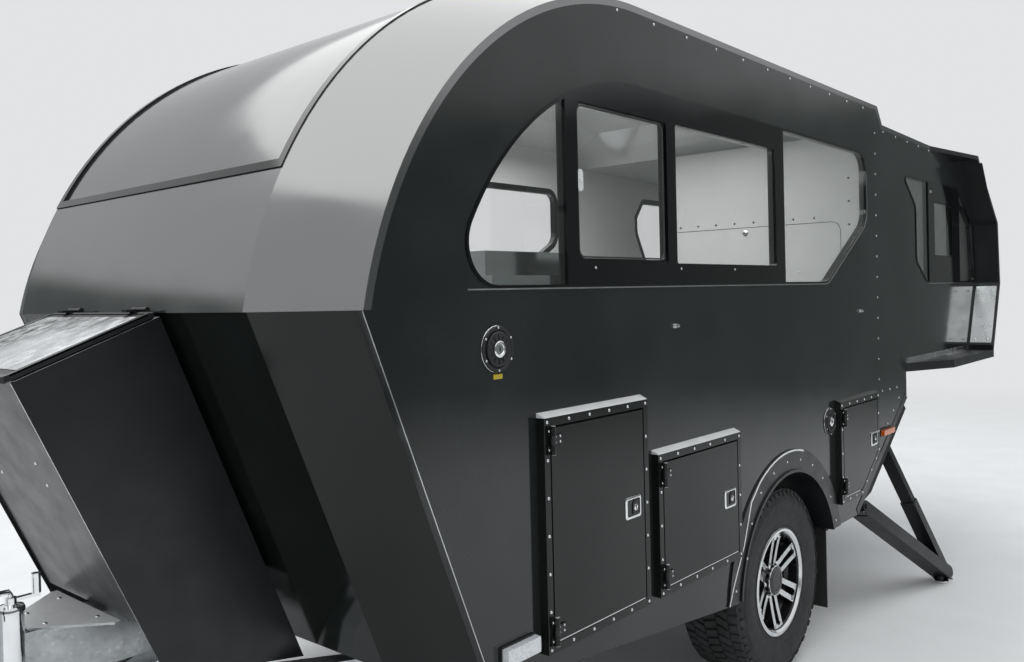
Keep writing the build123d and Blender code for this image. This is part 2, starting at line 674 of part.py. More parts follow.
arch_flange -= block(ARCH_X - 1, FLANGE_R + 50, BODY_HALF - 5, BODY_HALF + 50, -200, SKIRT_Z)
arch_flange -= block(MIDDLE_HATCH[0][0] - 1, FLANGE_R + 50, BODY_HALF - 5, BODY_HALF + 50,
                     MIDDLE_HATCH[0][1] - 1, ARCH_R + WHEEL_R)
arch_lip = disc(ARCH_X, WHEEL_R, ARCH_R + 12, BODY_HALF, BODY_HALF + 14)
arch_lip -= disc(ARCH_X, WHEEL_R, ARCH_R, BODY_HALF - 5, BODY_HALF + 20)
arch_lip -= block(-FLANGE_R, ARCH_X, BODY_HALF - 5, BODY_HALF + 50, -200, DEPART_Z)
arch_lip -= block(ARCH_X - 1, FLANGE_R, BODY_HALF - 5, BODY_HALF + 50, -200, SKIRT_Z)
arch = arch_solid + arch_flange + arch_lip
arches = group(arch, flip(arch))

flap = block(FLAP_X, FLAP_X + 7, TYRE_IN + 20, WALL_IN - 5, FLAP_LOW, DEPART_Z)
flap += block(FLAP_X - 26, FLAP_X, TYRE_IN + 20, WALL_IN - 5, DEPART_Z - 20, DEPART_Z)
mudflaps = group(flap, flip(flap))

# Chassis rails with cross members, and brackets of the trailing arms
chassis = block(RAIL_REAR, RAIL_FRONT, RAIL_Y - RAIL_W / 2, RAIL_Y + RAIL_W / 2, RAIL_LOW, SILL_Z)
chassis += flip(chassis)
for x in (RAIL_REAR + 60, 0, 650, 1250, RAIL_FRONT - 60):
    chassis += block(x - 30, x + 30, -RAIL_Y, RAIL_Y, RAIL_LOW + 40, SILL_Z)
hanger = block(ARM_X - 45, ARM_X + 45, RAIL_Y + RAIL_W / 2, RAIL_Y + RAIL_W / 2 + 70, 380, SILL_Z)
hanger -= block(ARM_X - 60, ARM_X + 38, RAIL_Y + RAIL_W / 2 + 10, RAIL_Y + RAIL_W / 2 + 60, 370, 480)
spring_seat = block(-70, 70, RAIL_Y + RAIL_W / 2, RAIL_Y + RAIL_W / 2 + 70, SILL_Z - 20, SILL_Z)
chassis += hanger + flip(hanger) + spring_seat + flip(spring_seat)

# Axle beam with trailing arms, springs, drums and spindles
axle = block(-BEAM_SIZE / 2, BEAM_SIZE / 2, -650, 650, WHEEL_R - BEAM_SIZE / 2, WHEEL_R + BEAM_SIZE / 2)
trail = bar((0, WHEEL_R), (ARM_X, 430), 64, RAIL_Y + RAIL_W / 2 + 12, RAIL_Y + RAIL_W / 2 + 58)
trail += disc(ARM_X, 430, 32, RAIL_Y + RAIL_W / 2 + 12, RAIL_Y + RAIL_W / 2 + 58)
trail -= disc(ARM_X, 430, 12, RAIL_Y, RAIL_Y + 120)
spring = post(0, RAIL_Y + RAIL_W / 2 + 35, 34, WHEEL_R, SILL_Z - 20)
drum = disc(0, WHEEL_R, DRUM_R, 650, 752)
spindle = disc(0, WHEEL_R, SPINDLE_R, 752, 900)
spindle += disc(0, WHEEL_R, SPINDLE_R + 24, 752, 858)
corner = trail + spring + drum + spindle
axle += corner
axle += flip(corner)
pivot_pin = disc(ARM_X, 430, 11.7, RAIL_Y + RAIL_W / 2, RAIL_Y + RAIL_W / 2 + 70)
chassis += pivot_pin + flip(pivot_pin)

# Wheels, drawn on the left about the Y axis
rim_profile = [
    (RIM_R, RIM_IN), (RIM_R, RIM_IN + 6), (RIM_SEAT, RIM_IN + 10), (201, RIM_IN + 60), (182, RIM_IN + 80),
    (182, RIM_OUT - 70), (201, RIM_OUT - 52), (RIM_SEAT, RIM_OUT - 10), (RIM_R, RIM_OUT - 6),
    (RIM_R, RIM_OUT), (205, RIM_OUT), (193, RIM_OUT - 12), (190, RIM_OUT - 50),
    (182 - RIM_SHEET, RIM_OUT - 62),
    (182 - RIM_SHEET, RIM_IN + 74), (193, RIM_IN + 54), (196, RIM_IN),
]
hub_profile = [(SPINDLE_R + PIN_FIT, 866), (82, 866), (82, 884), (60, 892), (60, 904),
               (SPINDLE_R + PIN_FIT, 904)]
rim = ring(rim_profile, RIM_IN, RIM_OUT) + ring(hub_profile, 866, 904)
rim += Pos(0, 908, 0) * Rot(90, 0, 0) * Cylinder(60, 8)
spoke_profile = make_face(Polyline((50, 868), (196, 896), (196, 922), (120, 906), (50, 894), close=True))
spoke = extrude(Pos(0, 0, -SPOKE_WIDTH / 2) * spoke_profile, amount=SPOKE_WIDTH, dir=(0, 0, 1))
for pair in range(SPOKE_PAIRS):
    for side in (-1, 1):
        lean = Pos(0, 0, side * (SPOKE_SPREAD - 4)) * Rot(0, -side * 2.5, 0)
        rim += Rot(0, pair * 360 / SPOKE_PAIRS + 30, 0) * (lean * spoke)
rim -= ring([(0, 700), (SPINDLE_R + PIN_FIT, 700), (SPINDLE_R + PIN_FIT, 903), (0, 903)], 700, 903)
bead_r = RIM_SEAT + BEAD_FIT
tyre_profile = [
    (bead_r, 708), (223, 703), (240, 690), (262, 680), (310, TYRE_IN), (350, 678), (379, 696), (WHEEL_R, 716),
    (WHEEL_R, 900), (379, 920), (350, 938), (310, TYRE_OUT), (262, 936), (240, 932), (223, 923),
    (bead_r, 919),
    (bead_r, 890), (226, 890), (262, 922), (310, 928), (350, 922), (370, 900), (372, 880),
    (372, 736), (370, 716), (350, 694), (310, 688), (262, 694), (226, 726), (bead_r, 726),
]
tyre = ring(tyre_profile, TYRE_IN, TYRE_OUT)
rim_left = Pos(0, 0, WHEEL_R) * rim
tyre_left = Pos(0, 0, WHEEL_R) * tyre
rim_right = flip(rim_left)
tyre_right = flip(tyre_left)

# Side profile of the gas box, set off from the nose
BOX_REAR_TOP = (nose_crest_x - NOSE_LEAN * (KNEE_Z - BOX_TOP_Z) + BOX_BEHIND, BOX_TOP_Z)
BOX_FRONT_TOP = (BOX_REAR_TOP[0] + BOX_LONG, BOX_FRONT_Z)
BOX_FRONT_LOW = (BOX_REAR_TOP[0] + BOX_FOOT_X, BOX_FOOT_Z)
BOX_REAR_LOW = (BOX_REAR_TOP[0] + BOX_TAIL_X, BOX_TAIL_Z)

# Drawbar: central beam over two converging arms, deck sheet and box carriers
draw_rear = BOX_REAR_TOP[0] - DRAW_BEHIND
JOCKEY_X = max(FORK_MEET + JOCKEY_AHEAD, BOX_FRONT_TOP[0] - JOCKEY_UNDER)
drawbar = block(draw_rear, DRAW_FRONT, -DRAW_HALF, DRAW_HALF, DRAW_LOW, DRAW_HIGH)
fork_plan = make_face(Polyline(
    (RAIL_FRONT, RAIL_Y + RAIL_W / 2, FORK_LOW), (FORK_MEET, 30, FORK_LOW), (FORK_MEET, -30, FORK_LOW),
    (RAIL_FRONT, -RAIL_Y - RAIL_W / 2, FORK_LOW), (RAIL_FRONT, -RAIL_Y + RAIL_W / 2, FORK_LOW),
    (FORK_MEET - 150, 0, FORK_LOW), (RAIL_FRONT, RAIL_Y - RAIL_W / 2, FORK_LOW), close=True))
drawbar += extrude(fork_plan, amount=FORK_HIGH - FORK_LOW)
drawbar += block(FORK_MEET - 190, FORK_MEET - 30, -45, 45, FORK_LOW, DRAW_LOW)
drawbar += block(draw_rear + 20, draw_rear + 90, -345, 345, FORK_LOW, FORK_HIGH)
drawbar += block(draw_rear + 20, draw_rear + 90, -45, 45, FORK_LOW, DRAW_LOW)
deck_front = JOCKEY_X - DECK_BACK
deck_plan = make_face(Polyline(
    (deck_front - 178, 200, DECK_Z), (deck_front - 160, 200, DECK_Z), (deck_front, 60, DECK_Z),
    (deck_front, -60, DECK_Z), (deck_front - 160, -200, DECK_Z), (deck_front - 178, -200, DECK_Z),
    close=True))
drawbar += extrude(deck_plan, amount=DECK_T)
drawbar += block(deck_front - 170, deck_front - 10, -30, 30, DRAW_HIGH, DECK_Z)
for x in (BOX_REAR_TOP[0] - 255, BOX_REAR_TOP[0] - 15):
    drawbar += block(x - 20, x + 20, -BOX_HALF + BOX_SHEET, BOX_HALF - BOX_SHEET, DRAW_HIGH, BOX_FLOOR)
drawbar += block(DRAW_FRONT, DRAW_FRONT + 14, -75, 75, 470, DRAW_HIGH + 20)

# Coupling head with its ball socket, bolted to the drawbar's end plate
plate_x = DRAW_FRONT + 14
coupling = block(plate_x, plate_x + 14, -75, 75, 480, 690)
coupling += block(plate_x + 14, BALL_X - 30, -34, 34, BALL_Z + 8, BALL_Z + 68)
coupling += slab([(plate_x + 14, BALL_Z + 68), (plate_x + 14, 640), (plate_x + 70, BALL_Z + 68)], -8, 8)
coupling += post(BALL_X, 0, 45, BALL_Z - SOCKET_WALL, BALL_Z + 60)
coupling += slab([(BALL_X - 30, BALL_Z + 60), (BALL_X - 110, BALL_Z + 100), (BALL_X - 116, BALL_Z + 112),
                  (BALL_X - 20, BALL_Z + 80), (BALL_X - 10, BALL_Z + 60)], -16, 16)
coupling -= Pos(BALL_X, 0, BALL_Z) * Sphere(BALL_R)
coupling -= post(BALL_X, 0, BALL_R, BALL_Z - SOCKET_WALL, BALL_Z)

# Gas box: cheeks that hang past the floor, front and rear sheets, floor and lid
front_lean = (BOX_FRONT_TOP[0] - BOX_FRONT_LOW[0]) / (BOX_FRONT_TOP[1] - BOX_FRONT_LOW[1])
cheek = slab([BOX_REAR_LOW, BOX_FRONT_LOW, BOX_FRONT_TOP, BOX_REAR_TOP], BOX_HALF - BOX_SHEET, BOX_HALF)


def box_front_x(z, depth):
    """X of the box's front sheet at a height, moved back by a depth."""
    return BOX_FRONT_TOP[0] - front_lean * (BOX_FRONT_TOP[1] - z) - depth


def box_rear_x(z, depth):
    """X of the box's rear sheet at a height, moved forward by a depth."""
    return BOX_REAR_TOP[0] - NOSE_LEAN * (BOX_REAR_TOP[1] - z) + depth


lid_fall = (BOX_REAR_TOP[1] - BOX_FRONT_TOP[1]) / (BOX_FRONT_TOP[0] - BOX_REAR_TOP[0])
inner_half = BOX_HALF - BOX_SHEET
front_top_z = BOX_FRONT_TOP[1]
front_sheet = slab([(box_front_x(BOX_FLOOR, BOX_INSET), BOX_FLOOR),
                    (box_front_x(front_top_z, BOX_INSET), front_top_z + BOX_INSET * lid_fall),
                    (box_front_x(front_top_z, BOX_INSET + BOX_SHEET),
                     front_top_z + (BOX_INSET + BOX_SHEET) * lid_fall),
                    (box_front_x(BOX_FLOOR, BOX_INSET + BOX_SHEET), BOX_FLOOR)], -inner_half, inner_half)
rear_sheet = slab([(box_rear_x(BOX_FLOOR, 0), BOX_FLOOR), (box_rear_x(BOX_FLOOR, BOX_SHEET), BOX_FLOOR),
                   (BOX_REAR_TOP[0] + BOX_SHEET, BOX_REAR_TOP[1] - BOX_SHEET * lid_fall), BOX_REAR_TOP],
                  -inner_half, inner_half)
floor_sheet = slab([(box_rear_x(BOX_FLOOR, 0), BOX_FLOOR), (box_front_x(BOX_FLOOR, BOX_INSET), BOX_FLOOR),
                    (box_front_x(BOX_FLOOR + BOX_SHEET, BOX_INSET), BOX_FLOOR + BOX_SHEET),
                    (box_rear_x(BOX_FLOOR + BOX_SHEET, 0), BOX_FLOOR + BOX_SHEET)], -inner_half, inner_half)
front_box = cheek + flip(cheek) + front_sheet + rear_sheet + floor_sheet

lid_pin = (BOX_REAR_TOP[0] + 3, BOX_REAR_TOP[1] + 18)
lid_rear_x = BOX_REAR_TOP[0] + 18
lid_rear_z = BOX_REAR_TOP[1] - 18 * lid_fall + LID_GAP
lid_front_x = BOX_FRONT_TOP[0] + 16
lid_front_z = BOX_REAR_TOP[1] - (lid_front_x - BOX_REAR_TOP[0]) * lid_fall + LID_GAP
front_box_lid = slab([(lid_rear_x, lid_rear_z), (lid_front_x, lid_front_z),
                      (lid_front_x, lid_front_z + LID_T),
                      (lid_rear_x, lid_rear_z + LID_T)], -BOX_HALF - 3, BOX_HALF + 3)
for y in (-200, 200):
    front_box += disc(lid_pin[0], lid_pin[1], PIN_R, y - 40, y + 40)
    for side in (-1, 1):
        y0 = y + side * 27 - 13
        front_box += disc(lid_pin[0], lid_pin[1], KNUCKLE_R, y0, y0 + 26)
        front_box += block(BOX_REAR_TOP[0] - 3, BOX_REAR_TOP[0] + 4, y0, y0 + 26,
                           BOX_REAR_TOP[1] - 30, lid_pin[1])
    knuckle = disc(lid_pin[0], lid_pin[1], KNUCKLE_R - 0.5, y - 13.5, y + 13.5)
    knuckle += block(lid_pin[0], lid_rear_x + 30, y - 13.5, y + 13.5, lid_pin[1] - 5, lid_pin[1] + 2)
    front_box_lid += knuckle
    front_box_lid -= disc(lid_pin[0], lid_pin[1], PIN_R + PIN_FIT, y - 14, y + 14)

# Caps, lamps and number plate
CAPS = [(1776, 1466), (-450, 1004)]
cap_parts = []
for x, z in CAPS:
    cap_parts.append(disc(x, z, 60, BODY_HALF, BODY_HALF + 12) + disc(x, z, 52, BODY_HALF, BODY_HALF + 24))
filler_caps = group(*cap_parts)

front_lamp = block(1654, 1788, BODY_HALF, BODY_HALF + 26, 640, 682)
side_lamp = block(-1260, -1100, BODY_HALF, BODY_HALF + 24, 852, 878)
lamp_low = 1640
lamp_high = 1780
waist_lean = (REAR_WAIST[0] - REAR_SHOULDER[0]) / (REAR_WAIST[1] - REAR_SHOULDER[1])
lamp_back = [(REAR_WAIST[0] + waist_lean * (z - REAR_WAIST[1]), z) for z in (lamp_low, lamp_high)]
tail_lamp = slab([lamp_back[0], lamp_back[1], (lamp_back[1][0] - 34, lamp_high),
                  (lamp_back[0][0] - 34, lamp_low)],
                 880, 1090)
plate_back = [(REAR_WAIST[0] + waist_lean * (z - REAR_WAIST[1]), z) for z in (1650, 1760)]
number_plate = slab([plate_back[0], plate_back[1], (plate_back[1][0] - 6, 1760),
                     (plate_back[0][0] - 6, 1650)],
                    -260, 260)
lamps = group(front_lamp, flip(front_lamp), side_lamp, flip(side_lamp), tail_lamp, flip(tail_lamp),
              number_plate)

# Jockey wheel
jockey_tube = post(JOCKEY_X, JOCKEY_Y, JOCKEY_TUBE_R, JOCKEY_TUBE_LOW, JOCKEY_TOP)
jockey_tube += block(JOCKEY_X - 40, JOCKEY_X + 40, DRAW_HALF, JOCKEY_Y, DRAW_LOW + 30, DRAW_LOW + 90)
jockey_tube -= post(JOCKEY_X, JOCKEY_Y, JOCKEY_STEM_R + PIN_FIT, JOCKEY_TUBE_LOW - 1, JOCKEY_TOP - 60)
jockey_tube += post(JOCKEY_X, JOCKEY_Y, 8, JOCKEY_TOP, JOCKEY_TOP + 25)
jockey_tube += block(JOCKEY_X - 70, JOCKEY_X + 10, JOCKEY_Y - 8, JOCKEY_Y + 8,
                     JOCKEY_TOP + 17, JOCKEY_TOP + 25)
jockey_tube += post(JOCKEY_X - 62, JOCKEY_Y, 11, JOCKEY_TOP + 25, JOCKEY_TOP + 75)
fork_half = JOCKEY_WHEEL_W / 2 + 6
axle_x = JOCKEY_X - JOCKEY_TRAIL
crown_z = JOCKEY_WHEEL_R * 2 + 12
jockey_stem = post(JOCKEY_X, JOCKEY_Y, JOCKEY_STEM_R, crown_z, JOCKEY_TUBE_LOW + 200)
jockey_stem += block(axle_x - 30, JOCKEY_X + 24, JOCKEY_Y - fork_half - 5, JOCKEY_Y + fork_half + 5,
                     crown_z, crown_z + 8)
for side in (-1, 1):
    y0 = JOCKEY_Y + side * fork_half
    jockey_stem += block(axle_x - 18, axle_x + 18, y0, y0 + side * 5, JOCKEY_WHEEL_R - 20, crown_z)
jockey_stem += disc(axle_x, JOCKEY_WHEEL_R, 9, JOCKEY_Y - fork_half - 5, JOCKEY_Y + fork_half + 5)
jockey_wheel = disc(axle_x, JOCKEY_WHEEL_R, JOCKEY_WHEEL_R, JOCKEY_Y - JOCKEY_WHEEL_W / 2,
                    JOCKEY_Y + JOCKEY_WHEEL_W / 2)
jockey_wheel -= disc(axle_x, JOCKEY_WHEEL_R, 9 + PIN_FIT, JOCKEY_Y - 40, JOCKEY_Y + 40)

# Rear legs: rail under the slope, channel arm, and a brace whose tube slides in a sleeve
slope = math.atan(depart_rise)
splay = math.radians(LEG_SPLAY)


def under_slope(x, drop):
    """Point a square distance below the departure slope."""
    z = DEPART_Z + (DEPART_X - x) * depart_rise
    return (x - drop * math.sin(slope), z - drop * math.cos(slope))


leg_pivot_z = DEPART_Z + (DEPART_X - LEG_PIVOT_X) * depart_rise - LEG_PIVOT_DROP / math.cos(slope)
leg_axis = Vector(-math.sin(slope) * math.sin(splay), -math.cos(splay), -math.cos(slope) * math.sin(splay))
leg_plane = Plane(origin=(LEG_PIVOT_X, BODY_HALF, leg_pivot_z),
                  x_dir=Vector(-math.cos(slope), 0, math.sin(slope)), z_dir=leg_axis)
leg_far = LEG_SIDE + LEG_W
foot_pin = (FOOT_RUN, FOOT_DROP)
brace_pin = (BRACE_RUN, BRACE_DROP)


def leg_slab(steps, depth_0, depth_1):
    """Prism of an outline along and below the slope, between two depths in from the body's side."""
    outline = make_face(Polyline(*[(run, drop, depth_0) for run, drop in steps], close=True))
    return leg_plane.location * extrude(outline, amount=depth_1 - depth_0)


def leg_disc(centre, radius, depth_0, depth_1):
    """Cylinder square to the leg's plane."""
    pin = Pos(centre[0], centre[1], (depth_0 + depth_1) / 2) * Cylinder(radius, depth_1 - depth_0)
    return leg_plane.location * pin


def leg_bar(start, end, t0, t1, over, under, depth_0, depth_1):
    """Bar along the line of two pins, from t0 to t1, its edges set off over and under that line."""
    run = math.dist(start, end)
    ux, uy = (end[0] - start[0]) / run, (end[1] - start[1]) / run
    corners = [(t0, -over), (t1, -over), (t1, under), (t0, under)]
    return leg_slab([(start[0] + t * ux - v * uy, start[1] + t * uy + v * ux) for t, v in corners],
                    depth_0, depth_1)


# Rail: two flanges under a top sheet, with the lugs of arm and brace
rail_over = LEG_PIVOT_DROP + LEG_W
flange_steps = [(-40, -rail_over), (-40, -LEG_OVER - RAIL_CLEAR), (0, -LEG_OVER - RAIL_CLEAR), (90, -10),
                (RAIL_RUN, -10), (RAIL_RUN, -rail_over)]
leg_rail = leg_slab(flange_steps, LEG_SIDE - 1, LEG_SIDE - 1 + RAIL_SHEET)
leg_rail += leg_slab(flange_steps, leg_far + 1 - RAIL_SHEET, leg_far + 1)
rail_top_x = (LEG_PIVOT_X + 10, LEG_PIVOT_X - RAIL_RUN * math.cos(slope) + 30)
leg_rail += slab([under_slope(rail_top_x[0], 0), under_slope(rail_top_x[0], RAIL_SHEET),
                  under_slope(rail_top_x[1], RAIL_SHEET), under_slope(rail_top_x[1], 0)],
                 BODY_HALF - LEG_W - 20, BODY_HALF - 12)
lug_mid = (LEG_SIDE + leg_far) / 2
leg_rail += leg_slab([(-LUG_R, 0), (-LUG_R - 20, -rail_over), (LUG_R + 20, -rail_over), (LUG_R, 0)],
                     lug_mid - LUG_R, lug_mid + LUG_R)
leg_rail += leg_disc((0, 0), LUG_R, lug_mid - LUG_R, lug_mid + LUG_R)
sleeve_0 = LEG_SIDE + BRACE_GAP
sleeve_1 = leg_far - BRACE_GAP
tube_0 = sleeve_0 + BRACE_SHEET + BRACE_FIT
tube_1 = sleeve_1 - BRACE_SHEET - BRACE_FIT
for cheek_0 in (tube_0 - 8, tube_1 + 2):
    leg_rail += leg_slab([(BRACE_RUN - LUG_R, BRACE_DROP), (BRACE_RUN - LUG_R, -rail_over),
                          (BRACE_RUN + LUG_R, -rail_over), (BRACE_RUN + LUG_R, BRACE_DROP)],
                         cheek_0, cheek_0 + 6)
    leg_rail += leg_disc(brace_pin, LUG_R, cheek_0, cheek_0 + 6)
leg_rail += leg_disc((0, 0), LEG_PIN_R, -4, leg_far + 6)
leg_rail += leg_disc(brace_pin, LEG_PIN_R, tube_0 - 12, tube_1 + 12)
leg_rail -= slab([under_slope(-500, 0), under_slope(-1900, 0), under_slope(-1900, -300),
                  under_slope(-500, -300)], 0, BODY_HALF + 100)
leg_rails = group(leg_rail, flip(leg_rail))

# Arm: channel open towards the rail, with a foot under its end
leg_run = math.dist((0, 0), foot_pin)
leg_arm_left = leg_bar((0, 0), foot_pin, 40, leg_run + LEG_OVER, LEG_SHEET - LEG_UNDER, LEG_UNDER,
                       LEG_SIDE, leg_far)
foot_at = leg_plane.location * Pos(*foot_pin, lug_mid)
foot_point = foot_at.position
foot = post(foot_point.X + 14, foot_point.Y, FOOT_R, 0, FOOT_T) + post(foot_point.X + 14, foot_point.Y, 16, 0, 40)
foot -= leg_bar((0, 0), foot_pin, leg_run - 150, leg_run + 150, LEG_OVER, LEG_UNDER - LEG_SHEET,
                LEG_SIDE, leg_far)
leg_arm_left += foot
for plate_0 in (LEG_SIDE, leg_far - LEG_SHEET):
    plate_1 = plate_0 + LEG_SHEET
    leg_arm_left += leg_bar((0, 0), foot_pin, 0, leg_run, LEG_OVER, LEG_UNDER, plate_0, plate_1)
    leg_arm_left += leg_disc((0, 0), LEG_OVER, plate_0, plate_1)
    leg_arm_left += leg_disc(foot_pin, LEG_OVER, plate_0, plate_1)
leg_arm_left += leg_disc(foot_pin, LEG_PIN_R, LEG_SIDE, sleeve_0 - EYE_GAP)
leg_arm_left += leg_disc(foot_pin, LEG_PIN_R, sleeve_1 + EYE_GAP, leg_far)
leg_arm_left -= leg_disc((0, 0), LEG_PIN_R + PIN_FIT, 0, leg_far + 2)
leg_arm_right = flip(leg_arm_left)

# Brace: tube on the rail's cheeks, sleeve over it down to the foot
brace_run = math.dist(brace_pin, foot_pin)
half = BRACE_DEPTH / 2
tube_half = half - BRACE_SHEET - BRACE_FIT
brace_tube_left = leg_bar(brace_pin, foot_pin, 0, TUBE_L, tube_half, tube_half, tube_0, tube_1)
brace_tube_left += leg_disc(brace_pin, tube_half, tube_0, tube_1)
brace_tube_left -= leg_bar(brace_pin, foot_pin, 40, TUBE_L + 1, tube_half - BRACE_SHEET, tube_half - BRACE_SHEET,
                           tube_0 + BRACE_SHEET, tube_1 - BRACE_SHEET)
brace_tube_left -= leg_disc(brace_pin, LEG_PIN_R + PIN_FIT, tube_0 - 1, tube_1 + 1)
brace_tube_right = flip(brace_tube_left)
brace_rod_left = leg_bar(foot_pin, brace_pin, 0, SLEEVE_L, half, half, sleeve_0, sleeve_1)
brace_rod_left += leg_disc(foot_pin, half, sleeve_0, sleeve_1)
brace_rod_left -= leg_bar(foot_pin, brace_pin, 40, SLEEVE_L + 1, half - BRACE_SHEET, half - BRACE_SHEET,
                          sleeve_0 + BRACE_SHEET, sleeve_1 - BRACE_SHEET)
brace_rod_left -= leg_disc(foot_pin, LEG_PIN_R + PIN_FIT, sleeve_0 - 1, sleeve_1 + 1)
brace_rod_right = flip(brace_rod_left)


def carcass(x0, x1, y0, y1, z0, z1, board):
    """Hollow furniture box open towards the floor."""
    room = block(x0 + board, x1 - board, y0 + board, y1 - board, z0 - 1, z1 - board)
    return block(x0, x1, y0, y1, z0, z1) - room


# Furniture seen through the windows
kitchen_front = nose_side_x - WALL - sill_lean - KITCHEN_CLEAR
kitchen_unit = carcass(KITCHEN_REAR, kitchen_front, WALL_IN - KITCHEN_DEEP, WALL_IN,
                       FLOOR_TOP, KITCHEN_TOP, BOARD)
tub_front = kitchen_front - TUB_AHEAD
tub = (tub_front - TUB_LONG, tub_front, WALL_IN - TUB_IN - TUB_WIDE, WALL_IN - TUB_IN)
kitchen_unit -= block(*tub, KITCHEN_TOP - BOARD - 1, KITCHEN_TOP + 1)
kitchen_unit += block(*tub, TUB_TOP - TUB_DEEP, TUB_TOP)
kitchen_unit -= block(tub[0] + TUB_SHEET, tub[1] - TUB_SHEET, tub[2] + TUB_SHEET, tub[3] - TUB_SHEET,
                      TUB_TOP - TUB_DEEP + TUB_SHEET, TUB_TOP + 1)
kitchen_unit -= slab(inset(FRONT_HATCH, HATCH_BORDER - HATCH_GAP + HATCH_LEDGE),
                     WALL_IN - BOARD - 1, WALL_IN + 1)
partition_top = STEP_FOOT[1] - REAR_ROOF_T - ROOF_CLEAR
tall_cabinet = carcass(TAIL_X + BOARD + 5, PARTITION_X, PARTITION_Y, WALL_IN, FLOOR_TOP, partition_top, BOARD)
tall_cabinet -= slab([(DEPART_X, 400), (DEPART_X + depart_in, DEPART_Z), depart_outline[2],
                      depart_outline[3], (TAIL_X - 100, floor_in), (TAIL_X - 100, 400)],
                     -WALL_IN - 5, WALL_IN + 5)
cabinets = group(tall_cabinet)
bed_rear = REAR_FOOT[0] + BED_REAR
bed_base = carcass(bed_rear, TAIL_X + BOARD, -BED_HALF, BED_HALF, floor_in, BED_TOP, BOARD)

NODES = {
    "side_wall_left": side_wall_left,
    "side_wall_right": side_wall_right,
    "rear_side_left": rear_side_left,
    "rear_side_right": rear_side_right,
    "rear_flares": rear_flares,
    "rear_shell": rear_shell,
    "chamfers": chamfers,
    "roof_panel": roof_panel,
    "nose_panel": nose_panel,
    "lower_nose": lower_nose,
    "panorama_window": panorama_window,
    "window_frames": window_frames,
    "window_glass": window_glass,
    "rooflight": rooflight,
    "hatch_frames": hatch_frames,
    "hatch_front": hatch_front,
    "hatch_middle": hatch_middle,
    "hatch_rear_left": hatch_rear_left,
    "hatch_rear_right": hatch_rear_right,
    "entrance_door": entrance_door,
    "door_glass": door_glass,
    "main_floor": main_floor,
    "departure_panel": departure_panel,
    "arches": arches,
    "mudflaps": mudflaps,
    "chassis": chassis,
    "axle": axle,
    "rim_left": rim_left,
    "rim_right": rim_right,
    "tyre_left": tyre_left,
    "tyre_right": tyre_right,
    "drawbar": drawbar,
    "coupling": coupling,
    "front_box": front_box,
    "front_box_lid": front_box_lid,
    "filler_caps": filler_caps,
    "lamps": lamps,
    "jockey_tube": jockey_tube,
    "jockey_stem": jockey_stem,
    "jockey_wheel": jockey_wheel,
    "leg_rails": leg_rails,
    "leg_arm_left": leg_arm_left,
    "leg_arm_right": leg_arm_right,
    "brace_tube_left": brace_tube_left,
    "brace_tube_right": brace_tube_right,
    "brace_rod_left": brace_rod_left,
    "brace_rod_right": brace_rod_right,
    "kitchen_unit": kitchen_unit,
    "cabinets": cabinets,
    "bed_base": bed_base,
}

for name, shape in NODES.items():
    export_step(Pos(AXLE_X, 0, 0) * shape, f"parts/{name}.step")
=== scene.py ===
import bpy
import bmesh
import math
from mathutils import Matrix, Vector


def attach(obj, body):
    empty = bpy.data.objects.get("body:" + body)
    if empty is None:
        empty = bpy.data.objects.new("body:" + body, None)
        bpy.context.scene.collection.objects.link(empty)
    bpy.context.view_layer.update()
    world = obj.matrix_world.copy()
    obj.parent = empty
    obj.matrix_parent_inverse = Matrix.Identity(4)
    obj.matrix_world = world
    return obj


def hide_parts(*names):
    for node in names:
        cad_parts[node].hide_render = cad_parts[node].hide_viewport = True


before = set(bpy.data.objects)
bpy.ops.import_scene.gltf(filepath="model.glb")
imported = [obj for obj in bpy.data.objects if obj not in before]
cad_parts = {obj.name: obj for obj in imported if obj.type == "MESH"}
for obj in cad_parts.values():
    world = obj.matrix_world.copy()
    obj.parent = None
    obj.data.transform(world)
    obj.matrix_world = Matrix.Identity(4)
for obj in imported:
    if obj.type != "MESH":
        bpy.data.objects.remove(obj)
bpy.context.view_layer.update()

scene = bpy.context.scene
scene.view_settings.view_transform = "Standard"

# Camera at the photograph's viewpoint
CAMERA_AT = (3.3085, 2.537, 1.608)
CAMERA_TURN = (89.432, 1.328, 130.910)
FOCAL = 31.44
SHIFT_Y = -0.0271

cam_data = bpy.data.cameras.new("view_camera")
cam_data.lens = FOCAL
cam_data.sensor_width = 36
cam_data.shift_y = SHIFT_Y
camera = bpy.data.objects.new("view_camera", cam_data)
camera.location = CAMERA_AT
camera.rotation_euler = [math.radians(a) for a in CAMERA_TURN]
scene.collection.objects.link(camera)
scene.camera = camera

# The drawing's millimetres run from the axle, the model's metres from the middle of its box.
# Wherever the script builds both sides, hand is 1 on the left and -1 on the right
AXLE_X = -204.5
SIDE = 975
SIDE_R = 1167
ARC_X = 1075
ARC_Z = 1352
WINDOW_R = 912
WINDOW_LOW = 1624
GLASS_Y = 968
HATCH_FACE = 1003
PIN_Y = 1012
WHEEL_R = 389
ARCH_X = -8
ARCH_LIP_R = 546
NOSE_LEAN = 0.407
KNEE_Z = 1580
NOSE_LOW = 590
BOX_LEAN = 0.4475
BOX_FRONT = (2711.736, 1429)
BOX_HALF = 297
LID_REAR = (2344.736, 1571)
JOCKEY_X = 2659.7
JOCKEY_Y = 112
DECK_HIGH = 770
FOOT_X = -1632.3
FOOT_Y = 1103.57
CROSS_WALL_X = -1131.5
DEPART = ((-777, 518), (-1530, 1000))
DOOR_REAR = 545
DOOR_WINDOW = ((627, 1652), (1123, 1652), (1123, 2128), (627, 2128))


def at(x, y, z):
    """Model position in metres from drawing millimetres."""
    return Vector(((x + AXLE_X) / 1000, y / 1000, z / 1000))


